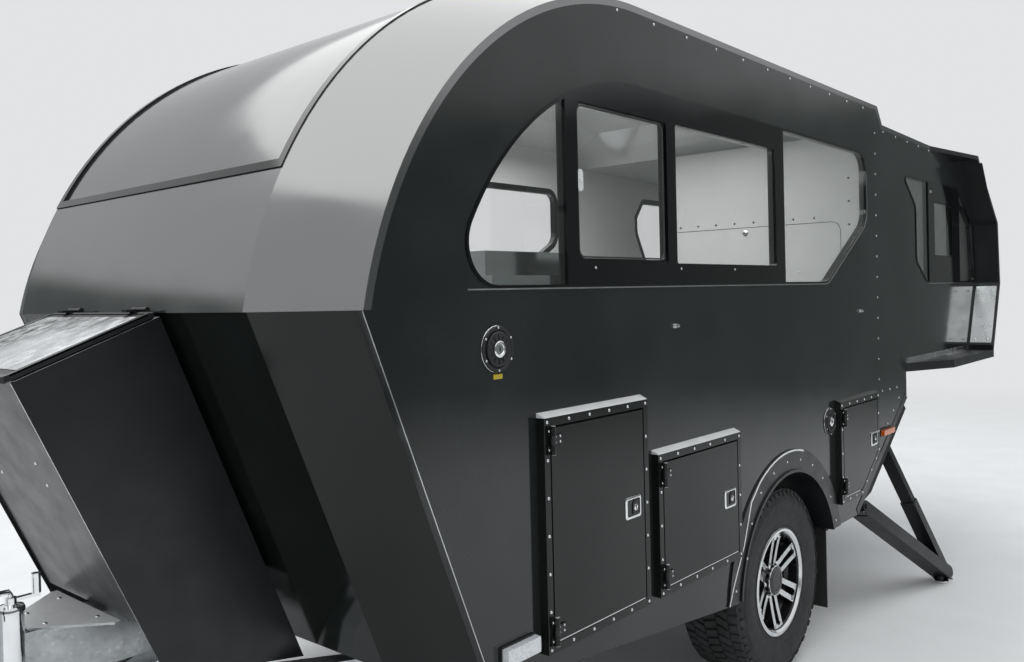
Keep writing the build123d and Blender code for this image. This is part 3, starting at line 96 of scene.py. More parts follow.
# Materials, with places in metres: middle of the lined cabin, front ends of the amber and the red lenses,
# and a width from the middle line between the plate and the rear lamps
CABIN_MIDDLE = (-0.6, 0, 1.55)
AMBER_AHEAD = 0.0
RED_AHEAD = -2.6
PLATE_HALF = 0.41


def new_material(name):
    mat = bpy.data.materials.new(name)
    mat.use_nodes = True
    shader = mat.node_tree.nodes["Principled BSDF"]
    return mat, mat.node_tree, shader


def object_coords(tree):
    return tree.nodes.new("ShaderNodeTexCoord").outputs["Object"]


def noise(tree, scale, detail=4.0, stretch=None):
    """Noise in object space, stretched where a grain runs one way."""
    tex = tree.nodes.new("ShaderNodeTexNoise")
    tex.inputs["Scale"].default_value = scale
    tex.inputs["Detail"].default_value = detail
    source = object_coords(tree)
    if stretch:
        mapping = tree.nodes.new("ShaderNodeMapping")
        mapping.inputs["Scale"].default_value = stretch
        tree.links.new(source, mapping.inputs["Vector"])
        source = mapping.outputs["Vector"]
    tree.links.new(source, tex.inputs["Vector"])
    return tex.outputs["Fac"]


def computed(tree, operation, *values):
    """Result of a maths step on values, each a number or an output."""
    node = tree.nodes.new("ShaderNodeMath")
    node.operation = operation
    for socket, value in zip(node.inputs, values):
        if isinstance(value, (int, float)):
            socket.default_value = value
        else:
            tree.links.new(value, socket)
    return node.outputs["Value"]


def axis_of(tree, vector, axis):
    """One axis of a vector."""
    split = tree.nodes.new("ShaderNodeSeparateXYZ")
    tree.links.new(vector, split.inputs["Vector"])
    return split.outputs[axis]


def ranged(tree, value, low, high, from_low=0.3, from_high=0.7):
    """Value moved into a range."""
    node = tree.nodes.new("ShaderNodeMapRange")
    node.inputs["From Min"].default_value = from_low
    node.inputs["From Max"].default_value = from_high
    node.inputs["To Min"].default_value = low
    node.inputs["To Max"].default_value = high
    tree.links.new(value, node.inputs["Value"])
    return node.outputs["Result"]


def mixed(tree, factor, first, second):
    """Colour between two, by a factor."""
    node = tree.nodes.new("ShaderNodeMix")
    node.data_type = "RGBA"
    tree.links.new(factor, node.inputs["Factor"])
    for socket, value in ((node.inputs[6], first), (node.inputs[7], second)):
        if isinstance(value, tuple):
            socket.default_value = value + (1,)
        else:
            tree.links.new(value, socket)
    return node.outputs[2]


def bumped(tree, shader, height, strength, distance=0.002):
    """Bump on a shader's normal."""
    bump = tree.nodes.new("ShaderNodeBump")
    bump.inputs["Strength"].default_value = strength
    bump.inputs["Distance"].default_value = distance
    tree.links.new(height, bump.inputs["Height"])
    tree.links.new(bump.outputs["Normal"], shader.inputs["Normal"])


def along(tree, axis, low, high):
    """0 to 1 between two places along an object axis."""
    return ranged(tree, axis_of(tree, object_coords(tree), axis), 0, 1, low, high)


def facing(tree, axis, low, high):
    """0 to 1 as the surface turns towards an object axis, either way."""
    normal = tree.nodes.new("ShaderNodeTexCoord").outputs["Normal"]
    return ranged(tree, computed(tree, "ABSOLUTE", axis_of(tree, normal, axis)), 0, 1, low, high)


def plain(name, colour, rough, metallic=0.0, vary=0.15, scale=6, spread=0.06, bump=0.0, bump_scale=200,
          stretch=None):
    """Surface with uneven colour and gloss, and a fine bump."""
    mat, tree, shader = new_material(name)
    dark = tuple(c * (1 - vary) for c in colour)
    light = tuple(min(1.0, c * (1 + vary)) for c in colour)
    cloud = noise(tree, scale, 5, stretch)
    tree.links.new(mixed(tree, ranged(tree, cloud, 0, 1), dark, light), shader.inputs["Base Color"])
    gloss = noise(tree, scale * 3.1, 6, stretch)
    gloss = ranged(tree, gloss, max(0.02, rough - spread), rough + spread)
    tree.links.new(gloss, shader.inputs["Roughness"])
    shader.inputs["Metallic"].default_value = metallic
    if bump:
        bumped(tree, shader, noise(tree, bump_scale, 3, stretch), bump)
    return mat


def paint(name, colour, rough, lining=None, index=1.5):
    """Graphite gloss with dusty clouds and gentle waves, over a white lining on faces turned inwards."""
    mat, tree, shader = new_material(name)
    film = ranged(tree, noise(tree, 2.2, 6), 0, 1, 0.42, 0.72)
    dusty = tuple(c * 1.5 + 0.003 for c in colour)
    tone = mixed(tree, film, colour, dusty)
    if lining:
        middle = tree.nodes.new("ShaderNodeVectorMath")
        middle.operation = "SUBTRACT"
        middle.inputs[1].default_value = CABIN_MIDDLE
        tree.links.new(object_coords(tree), middle.inputs[0])
        toward = tree.nodes.new("ShaderNodeVectorMath")
        toward.operation = "DOT_PRODUCT"
        tree.links.new(middle.outputs["Vector"], toward.inputs[0])
        tree.links.new(tree.nodes.new("ShaderNodeTexCoord").outputs["Normal"], toward.inputs[1])
        inside = ranged(tree, toward.outputs["Value"], 1, 0, -0.16, -0.14)
        tone = mixed(tree, inside, tone, lining)
    tree.links.new(tone, shader.inputs["Base Color"])
    patch = ranged(tree, noise(tree, 3.5, 5), rough - 0.03, rough + 0.05)
    tree.links.new(patch, shader.inputs["Roughness"])
    bumped(tree, shader, noise(tree, 1.7, 2), 0.10, 0.02)
    shader.inputs["IOR"].default_value = index
    return mat


def glass(name, clear):
    """Thin pane: mirrors at a slant, clear when faced."""
    mat, tree, shader = new_material(name)
    smear = ranged(tree, noise(tree, 4, 5), 0, 1)
    tree.links.new(mixed(tree, smear, (0.80, 0.83, 0.82), (0.90, 0.92, 0.91)), shader.inputs["Base Color"])
    shader.inputs["Metallic"].default_value = 1.0
    shader.inputs["Roughness"].default_value = 0.02
    slant = tree.nodes.new("ShaderNodeLayerWeight")
    slant.inputs["Blend"].default_value = 0.5
    rise = computed(tree, "POWER", slant.outputs["Facing"], 4.0)
    tree.links.new(ranged(tree, rise, clear, 1.0, 0, 1), shader.inputs["Alpha"])
    return mat


def wheel_alloy(name):
    """Black casting with machined faces that look outwards."""
    mat, tree, shader = new_material(name)
    cut = facing(tree, "Y", 0.93, 0.96)
    scratch = ranged(tree, noise(tree, 60, 4), 0, 1)
    bare = mixed(tree, scratch, (0.62, 0.63, 0.64), (0.78, 0.79, 0.80))
    tree.links.new(mixed(tree, cut, (0.010, 0.010, 0.011), bare), shader.inputs["Base Color"])
    tree.links.new(cut, shader.inputs["Metallic"])
    tree.links.new(ranged(tree, scratch, 0.18, 0.30, 0, 1), shader.inputs["Roughness"])
    return mat


def lamp_lens(name):
    """Lenses of all lamps: clear ahead, amber at the sides, red at the rear, and the plate's white."""
    mat, tree, shader = new_material(name)
    grain = ranged(tree, noise(tree, 90, 3), 0, 1)
    clear = mixed(tree, grain, (0.60, 0.62, 0.64), (0.78, 0.80, 0.81))
    amber = mixed(tree, grain, (0.55, 0.10, 0.015), (0.72, 0.17, 0.02))
    red = mixed(tree, grain, (0.30, 0.008, 0.006), (0.46, 0.016, 0.012))
    front = mixed(tree, along(tree, "X", AMBER_AHEAD - 0.02, AMBER_AHEAD + 0.02), amber, clear)
    rear = mixed(tree, along(tree, "X", RED_AHEAD - 0.02, RED_AHEAD + 0.02), red, front)
    width = computed(tree, "ABSOLUTE", axis_of(tree, object_coords(tree), "Y"))
    plate = ranged(tree, width, 1, 0, PLATE_HALF - 0.01, PLATE_HALF + 0.01)
    tree.links.new(mixed(tree, plate, rear, (0.70, 0.70, 0.68)), shader.inputs["Base Color"])
    shader.inputs["Roughness"].default_value = 0.14
    bumped(tree, shader, noise(tree, 260, 1, (1, 1, 0.1)), 0.25)
    shader.inputs["Coat Weight"].default_value = 0.8
    shader.inputs["Coat Roughness"].default_value = 0.04
    return mat


PAINT = (0.012, 0.0140, 0.0138)
LINING = (0.66, 0.67, 0.66)
MAT = {
    "paint": paint("graphite_paint", PAINT, 0.11, LINING),
    "leaf": paint("leaf_paint", (0.006, 0.0075, 0.007), 0.12, None, 1.36),
    "nose": paint("nose_paint", (0.016, 0.0175, 0.018), 0.14, LINING, 3.0),
    "satin": plain("satin_black", (0.007, 0.008, 0.009), 0.34, vary=0.35, scale=4, bump=0.05,
                   bump_scale=60),
    # Matt black: the real floor, and painted shade as the high strips on the flared corners
    "matt": plain("matt_black_and_painted_shade", (0.004, 0.004, 0.005), 0.7, vary=0.3, scale=7, bump=0.1, bump_scale=90),
    "frit": plain("black_frit", (0.003, 0.003, 0.004), 0.07, vary=0.2, scale=5, spread=0.02),
    "plastic": plain("black_plastic", (0.012, 0.012, 0.013), 0.48, vary=0.25, scale=20, bump=0.15,
                     bump_scale=420),
    "aluminium": plain("bare_aluminium", (0.60, 0.62, 0.63), 0.30, metallic=1.0, vary=0.16, scale=5,
                       spread=0.12, bump=0.03, bump_scale=160),
    "marbled": plain("marbled_aluminium", (0.66, 0.68, 0.69), 0.26, metallic=1.0, vary=0.22, scale=9,
                     spread=0.14, bump=0.06, bump_scale=26),
    "bright": plain("bright_aluminium", (0.78, 0.79, 0.80), 0.20, metallic=1.0, vary=0.08, scale=9,
                    spread=0.06),
    "dulled": plain("dulled_aluminium", (0.74, 0.75, 0.75), 0.42, metallic=0.15, vary=0.06, scale=18,
                    spread=0.08, bump=0.03, bump_scale=200),
    "rivet": plain("rivet_aluminium", (0.74, 0.75, 0.76), 0.24, metallic=0.9, vary=0.14, scale=40,
                   spread=0.08),
    "chrome": plain("chrome", (0.84, 0.85, 0.86), 0.09, metallic=1.0, vary=0.05, scale=12, spread=0.03),
    "stainless": plain("stainless", (0.58, 0.59, 0.60), 0.16, metallic=1.0, vary=0.06, scale=4, spread=0.05,
                       stretch=(1, 1, 14)),
    "zinc": plain("zinc_coat", (0.50, 0.52, 0.53), 0.36, metallic=0.9, vary=0.16, scale=26, spread=0.10,
                  bump=0.08, bump_scale=120),
    "steel": plain("coated_steel", (0.010, 0.010, 0.011), 0.40, vary=0.3, scale=9, bump=0.12,
                   bump_scale=120),
    "rubber": plain("rubber", (0.016, 0.016, 0.016), 0.72, vary=0.25, scale=14, bump=0.2, bump_scale=300),
    "tyre": plain("tyre_rubber", (0.016, 0.016, 0.017), 0.66, vary=0.4, scale=11, bump=0.25,
                  bump_scale=240),
    "tread": plain("tread_rubber", (0.030, 0.030, 0.031), 0.76, vary=0.4, scale=14, bump=0.3,
                   bump_scale=200),
    "alloy": wheel_alloy("wheel_alloy"),
    "white": plain("white_laminate", (0.64, 0.65, 0.64), 0.34, vary=0.04, scale=3, spread=0.05, bump=0.02,
                   bump_scale=220),
    "lens": lamp_lens("lamp_lenses"),
    "yellow": plain("yellow_tab", (0.50, 0.38, 0.02), 0.4, vary=0.1, scale=50),
    "glass": glass("window_glass", 0.07),
    "dome": paint("smoked_dome", (0.014, 0.0155, 0.016), 0.10, LINING, 3.0),
}

NODE_MATERIAL = {
    "side_wall_left": "paint", "side_wall_right": "paint", "rear_side_left": "paint",
    "rear_side_right": "paint", "rear_flares": "satin", "rear_shell": "nose", "chamfers": "nose",
    "roof_panel": "nose", "nose_panel": "nose", "lower_nose": "leaf", "panorama_window": "dome",
    "window_frames": "frit", "window_glass": "glass", "rooflight": "frit", "hatch_frames": "leaf",
    "hatch_front": "leaf", "hatch_middle": "leaf", "hatch_rear_left": "leaf",
    "hatch_rear_right": "leaf", "entrance_door": "leaf", "door_glass": "glass",
    "main_floor": "matt", "departure_panel": "paint", "arches": "satin", "mudflaps": "rubber",
    "chassis": "steel", "axle": "steel", "rim_left": "alloy", "rim_right": "alloy",
    "tyre_left": "tyre", "tyre_right": "tyre", "drawbar": "zinc", "coupling": "zinc",
    "front_box": "satin", "front_box_lid": "satin", "filler_caps": "plastic", "lamps": "lens",
    "jockey_tube": "chrome", "jockey_stem": "zinc", "jockey_wheel": "rubber", "leg_rails": "steel",
    "leg_arm_left": "satin", "leg_arm_right": "satin", "brace_tube_left": "satin",
    "brace_tube_right": "satin", "brace_rod_left": "satin", "brace_rod_right": "satin",
    "kitchen_unit": "stainless", "cabinets": "white", "bed_base": "white",
}

for name, key in NODE_MATERIAL.items():
    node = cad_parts[name]
    node.data.materials.clear()
    node.data.materials.append(MAT[key])


# Mesh helpers

def piece(name, bm, keys, body):
    """Object from a mesh in metres, with its materials, on a body."""
    mesh = bpy.data.meshes.new(name)
    bmesh.ops.recalc_face_normals(bm, faces=bm.faces)
    bm.to_mesh(mesh)
    bm.free()
    mesh.set_sharp_from_angle(angle=math.radians(38))
    for key in keys:
        mesh.materials.append(MAT[key])
    obj = bpy.data.objects.new(name, mesh)
    scene.collection.objects.link(obj)
    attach(obj, body)
    return obj


def place_on(point, normal, up=(0, 0, 1)):
    """Matrix with local Z along a normal and local Y as near as it can be to a direction."""
    out = Vector(normal).normalized()
    rise = Vector(up)
    rise = (rise - out * rise.dot(out)).normalized()
    side = rise.cross(out)
    return Matrix.Translation(point) @ Matrix((side, rise, out)).transposed().to_4x4()


def on_side(x, y, z, hand=1):
    """Place on the left or right side, its local Z outwards."""
    return place_on(at(x, y * hand, z), (0, hand, 0))


def upright(x, y, z):
    """Place with its local Z upwards and its local Y ahead."""
    return place_on(at(x, y, z), (0, 0, 1), (1, 0, 0))


def shifted(place, x, y, z):
    """Place moved by local millimetres."""
    return place @ Matrix.Translation((x / 1000, y / 1000, z / 1000))


def laid(place, outline, height=0):
    """Points in metres of an outline in local millimetres."""
    return [place @ Vector((x / 1000, y / 1000, height / 1000)) for x, y in outline]


def close(bm, corners, mat):
    """Face over its distinct corners."""
    loop = []
    for corner in corners:
        if corner not in loop:
            loop.append(corner)
    if len(loop) > 2:
        face = bm.faces.new(loop)
        face.material_index = mat
        face.smooth = True


def join_rings(bm, first, second, mat):
    """Band of faces between two rings with as many points."""
    for i in range(len(first)):
        j = (i + 1) % len(first)
        close(bm, [first[i], first[j], second[j], second[i]], mat)


def add_lathe(bm, profile, place, mat=0, count=32):
    """Surface turned about local Z from steps of radius and height in millimetres."""
    rings = []
    for radius, height in profile:
        turns = 1 if radius == 0 else count
        rings.append([bm.verts.new(place @ Vector((radius * math.cos(i * math.tau / count) / 1000,
                                                   radius * math.sin(i * math.tau / count) / 1000,
                                                   height / 1000))) for i in range(turns)])
    for low, high in zip(rings, rings[1:]):
        for i in range(count):
            j = (i + 1) % count
            close(bm, [low[i % len(low)], low[j % len(low)], high[j % len(high)], high[i % len(high)]], mat)


def add_block(bm, size, place, mat=0, edge=1.0):
    """Block of a size in millimetres with softened edges, centred on a place."""
    block = bmesh.new()
    scale = Matrix.Diagonal((size[0] / 1000, size[1] / 1000, size[2] / 1000, 1))
    bmesh.ops.create_cube(block, size=1.0, matrix=scale)
    bmesh.ops.bevel(block, geom=block.edges[:], offset=edge / 1000, segments=2, profile=0.6, affect="EDGES")
    block.verts.index_update()
    corners = [bm.verts.new(place @ v.co) for v in block.verts]
    for face in block.faces:
        close(bm, [corners[v.index] for v in face.verts], mat)
    block.free()


def add_slab(bm, outline, place, low, high, mat=0):
    """Flat plate over an outline in local millimetres, between two heights."""
    rings = [[bm.verts.new(point) for point in laid(place, outline, h)] for h in (low, high)]
    for ring in rings:
        close(bm, ring, mat)
    join_rings(bm, rings[0], rings[1], mat)


def add_strip(bm, points, out, width, low, high, mat=0, closed=False):
    """Flat bar along points in metres, its faces square to a direction, heights in millimetres."""
    out = Vector(out).normalized()
    count = len(points)
    rings = []
    for i, point in enumerate(points):
        before = points[i - 1] if i or closed else point
        after = points[(i + 1) % count] if i < count - 1 or closed else point
        first = (point - before).normalized() if point != before else (after - point).normalized()
        second = (after - point).normalized() if point != after else first
        run = (first + second).normalized()
        side = run.cross(out).normalized() * (width / 2000) / max(0.3, run.dot(first))
        rings.append([bm.verts.new(point + side * s + out * h / 1000)
                      for s, h in ((-1, low), (-1, high), (1, high), (1, low))])
    for i in range(count if closed else count - 1):
        join_rings(bm, rings[i], rings[(i + 1) % count], mat)
    if not closed:
        close(bm, rings[0], mat)
        close(bm, rings[-1], mat)


def add_tube(bm, points, radius, mat=0, count=12):
    """Round bar along points in metres."""
    rings = []
    for i, point in enumerate(points):
        run = (points[min(i + 1, len(points) - 1)] - points[max(i - 1, 0)]).normalized()
        guide = Vector((0, 1, 0)) if abs(run.y) < 0.9 else Vector((1, 0, 0))
        side = run.cross(guide).normalized()
        rise = run.cross(side)
        rings.append([bm.verts.new(point + (side * math.cos(t * math.tau / count)
                                            + rise * math.sin(t * math.tau / count)) * radius / 1000)
                      for t in range(count)])
    for first, second in zip(rings, rings[1:]):
        join_rings(bm, first, second, mat)
    close(bm, rings[0], mat)
    close(bm, rings[-1], mat)


def spaced(start, end, count):
    """Points from start to end, both included."""
    return [tuple(a + (b - a) * i / (count - 1) for a, b in zip(start, end)) for i in range(count)]


def rounded(corners, radius, steps=5):
    """Outline with its corners rounded."""
    points = []
    for i, corner in enumerate(corners):
        here = Vector(corner)
        before = (Vector(corners[i - 1]) - here).normalized()
        after = (Vector(corners[(i + 1) % len(corners)]) - here).normalized()
        half = math.acos(max(-1, min(1, before.dot(after)))) / 2
        reach = radius / math.tan(half)
        centre = here + (before + after).normalized() * radius / math.sin(half)
        first = here + before * reach - centre
        last = here + after * reach - centre
        for step in range(steps + 1):
            share = step / steps
            way = (first * (1 - share) + last * share).normalized() * radius
            points.append(tuple(centre + way))
    return points


def rounded_box(half_x, half_y, radius):
    """Outline of a rectangle about the middle, with round corners."""
    corners = [(-half_x, -half_y), (half_x, -half_y), (half_x, half_y), (-half_x, half_y)]
    return rounded(corners, radius)


# Rivets, seated on whatever surface is under them
DOME = [(1.0, -0.4), (1.0, 0.12), (0.86, 0.34), (0.5, 0.50), (0, 0.56)]
SQUARE_TO_SIDE = 0.9


def seat(nodes, x, z, hand):
    """Point and normal on the outermost of some nodes, seen square from one side."""
    best = None
    for name in nodes:
        hit, point, normal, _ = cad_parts[name].ray_cast(at(x, 1400 * hand, z), Vector((0, -hand, 0)))
        if hit and (best is None or abs(point.y) > abs(best[0].y)):
            best = (point, normal)
    return best


def add_rivet(bm, point, normal, radius=4.8, mat=0):
    profile = [(r * radius, h * radius) for r, h in DOME]
    add_lathe(bm, profile, place_on(point, normal, (0.1, 0.2, 1)), mat, 10)


def rivet_rows(bm, nodes, rows, hand, radius=4.8):
    """Rivets along rows of (start, end, count), each place given as X and Z."""
    for start, end, count in rows:
        for x, z in spaced(start, end, count):
            found = seat(nodes, x, z, hand)
            if found and found[1].y * hand > SQUARE_TO_SIDE:
                add_rivet(bm, found[0], found[1], radius)


WALL_ROWS = [
    ((-1106, 2378), (-1106, 1136), 13),
    ((1181, 2483), (-949, 2483), 11),
    ((-1233, 2398), (-2009, 2385), 5),
    ((-1403, 1013), (-1221, 898), 3),
    ((-1152, 1073), (-1375, 1071), 3),
]
ARCH_TURNS = [(42, 480), (26, 462), (11.3, 505)] + [(57 + 14.9 * i, 506) for i in range(8)]
for side, hand in (("left", 1), ("right", -1)):
    bm = bmesh.new()
    walls = ["side_wall_" + side, "rear_side_" + side]
    rivet_rows(bm, walls, WALL_ROWS, hand)
    for degrees, radius in ARCH_TURNS:
        turn = math.radians(degrees)
        x, z = ARCH_X + radius * math.cos(turn), WHEEL_R + radius * math.sin(turn)
        found = seat(["arches"], x, z, hand)
        if found and abs(found[0].y) > (SIDE - 1) / 1000:
            add_rivet(bm, found[0], (0, hand, 0))
    piece("wall_rivets_" + side, bm, ["rivet"], "body")

FRAME_ROWS = [
    ((1609, 1255), (1609, 629), 7), ((1114, 1255), (1114, 629), 7),
    ((1510, 1255), (1213, 1255), 4), ((1510, 629), (1213, 629), 4),
    ((1029, 1067), (1029, 630), 5), ((483, 1067), (483, 630), 5),
    ((920, 1067), (592, 1067), 4), ((920, 630), (592, 630), 4),
]
REAR_ROWS = [
    ((-528, 1067), (-1004, 1067), 6), ((-528, 958), (-528, 630), 4), ((-1004, 980), (-1004, 800), 3),
    ((-610, 630), (-770, 630), 3), ((-830, 672), (-960, 762), 3),
]
for side, hand, rows in (("left", 1, FRAME_ROWS + REAR_ROWS), ("right", -1, REAR_ROWS)):
    bm = bmesh.new()
    rivet_rows(bm, ["hatch_frames"], rows, hand, 4.9)
    piece("frame_rivets_" + side, bm, ["rivet"], "body")

# Bright outer lip of each arch, which turns down ahead of the wheel
LIP_FRONT = [(352, 793), (386, 717), (419, 643), (474, 561), (512, 504), (543, 445)]
bm = bmesh.new()
for hand in (1, -1):
    line = []
    for i in range(10):
        turn = math.radians(104 - i * 5)
        line.append(at(ARCH_X + ARCH_LIP_R * math.cos(turn), (SIDE + 7) * hand,
                       WHEEL_R + ARCH_LIP_R * math.sin(turn)))
    line += [at(x, (SIDE + 7) * hand, z) for x, z in LIP_FRONT]
    add_strip(bm, line, (0, hand, 0), 7, -1.5, 2.0)
piece("arch_lips", bm, ["bright"], "body")


def add_latch(bm, centre):
    """Paddle latch: raised bezel, its paddle, a lock and four rivets."""
    rings = []
    for half_x, half_y, radius, height in ((43, 34, 9, 0), (43, 34, 9, 2.4), (38, 29, 7, 4.6),
                                           (35, 26, 6, 4.0), (35, 26, 6, 0.6)):
        ring = laid(centre, rounded_box(half_x, half_y, radius), height)
        rings.append([bm.verts.new(point) for point in ring])
    for lower, upper in zip(rings, rings[1:]):
        join_rings(bm, lower, upper, 0)
    close(bm, rings[-1], 3)
    paddle = [(-4, -22), (24, -22), (31, -12), (31, 12), (24, 22), (6, 22), (-4, 8)]
    add_slab(bm, paddle, centre, 0.4, 3.4, 2)
    lock = shifted(centre, 12, -2, 0)
    add_lathe(bm, [(10, 3.2), (10, 4.6), (8.6, 5.4), (0, 5.4)], lock, 0, 24)
    add_block(bm, (3.4, 11, 1), shifted(lock, 0, 0, 5.6), 3, 0.4)
    out = centre.to_3x3() @ Vector((0, 0, 1))
    for corner in laid(centre, [(-37.2, -28.5), (-37.2, 28.5), (37.2, -28.5), (37.2, 28.5)], 4):
        add_rivet(bm, corner, out, 2.0, 1)


# Hatches: sloped strip on each frame, line under each leaf, hinges with four screws, paddle latches
REAR_LEAF = [(-778, 617), (-515, 617), (-515, 1080), (-1017, 1080), (-1017, 784)]
HATCHES = [
    ("hatch_front", [(1101, 617), (1622, 617), (1622, 1267), (1101, 1267)], (679, 1205), (1196, 943), 1),
    ("hatch_middle", [(470, 617), (1042, 617), (1042, 1080), (470, 1080)], (683, 1013), (563, 852), 1),
    ("hatch_rear_left", REAR_LEAF, (700, 1010), (-933, 865), 1),
    ("hatch_rear_right", REAR_LEAF, (700, 1010), (-933, 865), -1),
]
PIN_INSET = 27
LEAF_INSET = 34


def add_hatch_edges(bm, outline, hand):
    """Sloped strip on the frame's upper edge, bright on square frames, and the line under the leaf."""
    places = [x for x, z in outline]
    heights = [z for x, z in outline]
    strip_end = place_on(at(min(places) + 1, SIDE * hand, max(heights)), (1, 0, 0))
    wedge = [(0, 0), (27.5 * hand, 0), (27 * hand, 1.6), (1.5 * hand, 13), (0, 13)]
    strip_long = max(places) - min(places) - 2
    add_slab(bm, wedge, strip_end, 0, strip_long, 0 if len(outline) == 4 else 1)
    low = min(heights)
    low_places = [x for x, z in outline if z == low]
    ends = (min(low_places) + LEAF_INSET, max(low_places) - LEAF_INSET)
    under_leaf = [at(x, HATCH_FACE * hand, low + 27.5) for x in ends]
    add_strip(bm, under_leaf, (0, hand, 0), 2.4, -3, -0.4)


def add_hinge(leaf, frame_side, x, z, hand):
    """Hinge about its pin: plate, screws and barrel on the leaf, screws and pin heads on the frame."""
    add_block(leaf, (38, 25, 1.6), on_side(x - 25, HATCH_FACE + 5.4, z, hand), 2, 0.7)
    for dx in (-36, -15):
        for dz in (-7.5, 7.5):
            add_rivet(leaf, at(x + dx, (HATCH_FACE + 6.0) * hand, z + dz), (0, hand, 0), 3.4, 1)
    barrel = [(7.6, 0), (8.2, 0.8), (8.2, 24), (7.6, 24.8)]
    add_lathe(leaf, barrel, upright(x, PIN_Y * hand, z - 12.4), 2, 20)
    for dz in (-26, 26):
        add_rivet(frame_side, at(x + 12, (HATCH_FACE + 4.8) * hand, z + dz), (0, hand, 0), 3.4)
    for dz in (-39.4, 39.4):
        pin_end = place_on(at(x, PIN_Y * hand, z + dz), (0, 0, 1 if dz > 0 else -1), (1, 0, 0))
        add_lathe(frame_side, [(7.4, -0.6), (7.4, 0.6), (4, 1.6), (0, 1.8)], pin_end, 0, 18)


for name, outline, pins, latch, hand in HATCHES:
    bm = bmesh.new()
    add_hatch_edges(bm, outline, hand)
    piece(name + "_edges", bm, ["dulled", "leaf"], "body")
    leaf = bmesh.new()
    frame_side = bmesh.new()
    pin_x = max(x for x, z in outline) - PIN_INSET
    for z in pins:
        add_hinge(leaf, frame_side, pin_x, z, hand)
    piece(name + "_hinge_screws", frame_side, ["rivet"], "body")
    add_latch(leaf, on_side(latch[0], HATCH_FACE, latch[1], hand))
    piece(name + "_fittings", leaf, ["chrome", "rivet", "plastic", "frit"], name)

# Entrance door: latch and black lip round its window
bm = bmesh.new()
latch_x, latch_z = DOOR_REAR + 85, 1180
door_y = seat(["entrance_door"], latch_x, latch_z, -1)[0].y * 1000
add_latch(bm, on_side(latch_x, -door_y, latch_z, -1))
lip = rounded(DOOR_WINDOW, 68, 6)
add_strip(bm, [at(x, door_y, z) for x, z in lip], (0, -1, 0), 14, -0.5, 2.6, 3, True)
piece("door_fittings", bm, ["chrome", "rivet", "plastic", "frit"], "entrance_door")

# Hold-back catches on the wall and studs in the frit
bm = bmesh.new()
for x in (875, -855):
    spot = on_side(x, SIDE, 1489)
    add_slab(bm, rounded_box(15, 8, 5), spot, 0, 3, 0)
    add_block(bm, (9, 10, 14), shifted(spot, 2, 0, 8), 0, 2.5)
    add_lathe(bm, [(4, 13), (4.6, 15), (0, 16)], shifted(spot, 2, 0, 0), 1, 14)
for x in (1330, 830, 440):
    found = seat(["window_frames", "window_glass"], x, 1682, 1)
    if found:
        add_rivet(bm, found[0], (0, 1, 0), 4.2, 1)
piece("wall_catches", bm, ["chrome", "rivet"], "body")

# Main window: rounded black frame of the sliding pane, its latch, and bright lines
bm = bmesh.new()
pane = rounded([(912, 1702), (1412, 1702), (1412, 2172), (912, 2172)], 34, 6)
add_strip(bm, [at(x, GLASS_Y + 1, z) for x, z in pane], (0, 1, 0), 16, -2, 5, 0, True)
pane_in = rounded([(924, 1714), (1400, 1714), (1400, 2160), (924, 2160)], 26, 6)
add_strip(bm, [at(x, GLASS_Y + 2, z) for x, z in pane_in], (0, 1, 0), 5, -2, 2, 1, True)
spot = on_side(1397, GLASS_Y + 6, 1938)
add_slab(bm, rounded_box(12, 32, 11.5), spot, 0, 6, 2)
add_lathe(bm, [(8, 6), (8, 9), (6, 11), (0, 11)], spot, 2, 20)
for x, low, high, width in ((884, 1712, 2160, 3), (34, 1706, 2166, 2)):
    add_strip(bm, [at(x, GLASS_Y + 6, low), at(x, GLASS_Y + 6, high)], (0, 1, 0), width, 0, 1, 3)
piece("sliding_pane_frame", bm, ["frit", "rubber", "white", "bright"], "body")

# Bright line in the joint round the window's lower and rear edge
bm = bmesh.new()
line_z = WINDOW_LOW - 1.5
front_x = ARC_X + math.sqrt(WINDOW_R ** 2 - (WINDOW_LOW - ARC_Z) ** 2)
bends = rounded([(front_x, line_z), (-459.5, line_z), (-967.5, 1920), (-967.5, 2264)], 115)[6:18]
main_line = [(front_x - 60, line_z)] + bends + [(-967.5, 2160)]
tail_line = [(-2930, 1616), (-1950, 1616)]
for line in (main_line, tail_line):
    add_strip(bm, [at(x, SIDE + 4.2, z) for x, z in line], (0, 1, 0), 4, -3, 0.4)
piece("window_edge_lines", bm, ["bright"], "body")

# Slider of the raised section's window with its bright handle
bm = bmesh.new()
tail_pane = rounded([(-2083, 1773), (-2083, 2097), (-2442, 2097), (-2442, 1773)], 22, 5)
add_strip(bm, [at(x, GLASS_Y + 1, z) for x, z in tail_pane], (0, 1, 0), 18, -2, 5, 0, True)
add_block(bm, (46, 14, 8), on_side(-2026, GLASS_Y + 10, 2147), 1, 2.5)
piece("tail_slider_frame", bm, ["frit", "chrome"], "body")

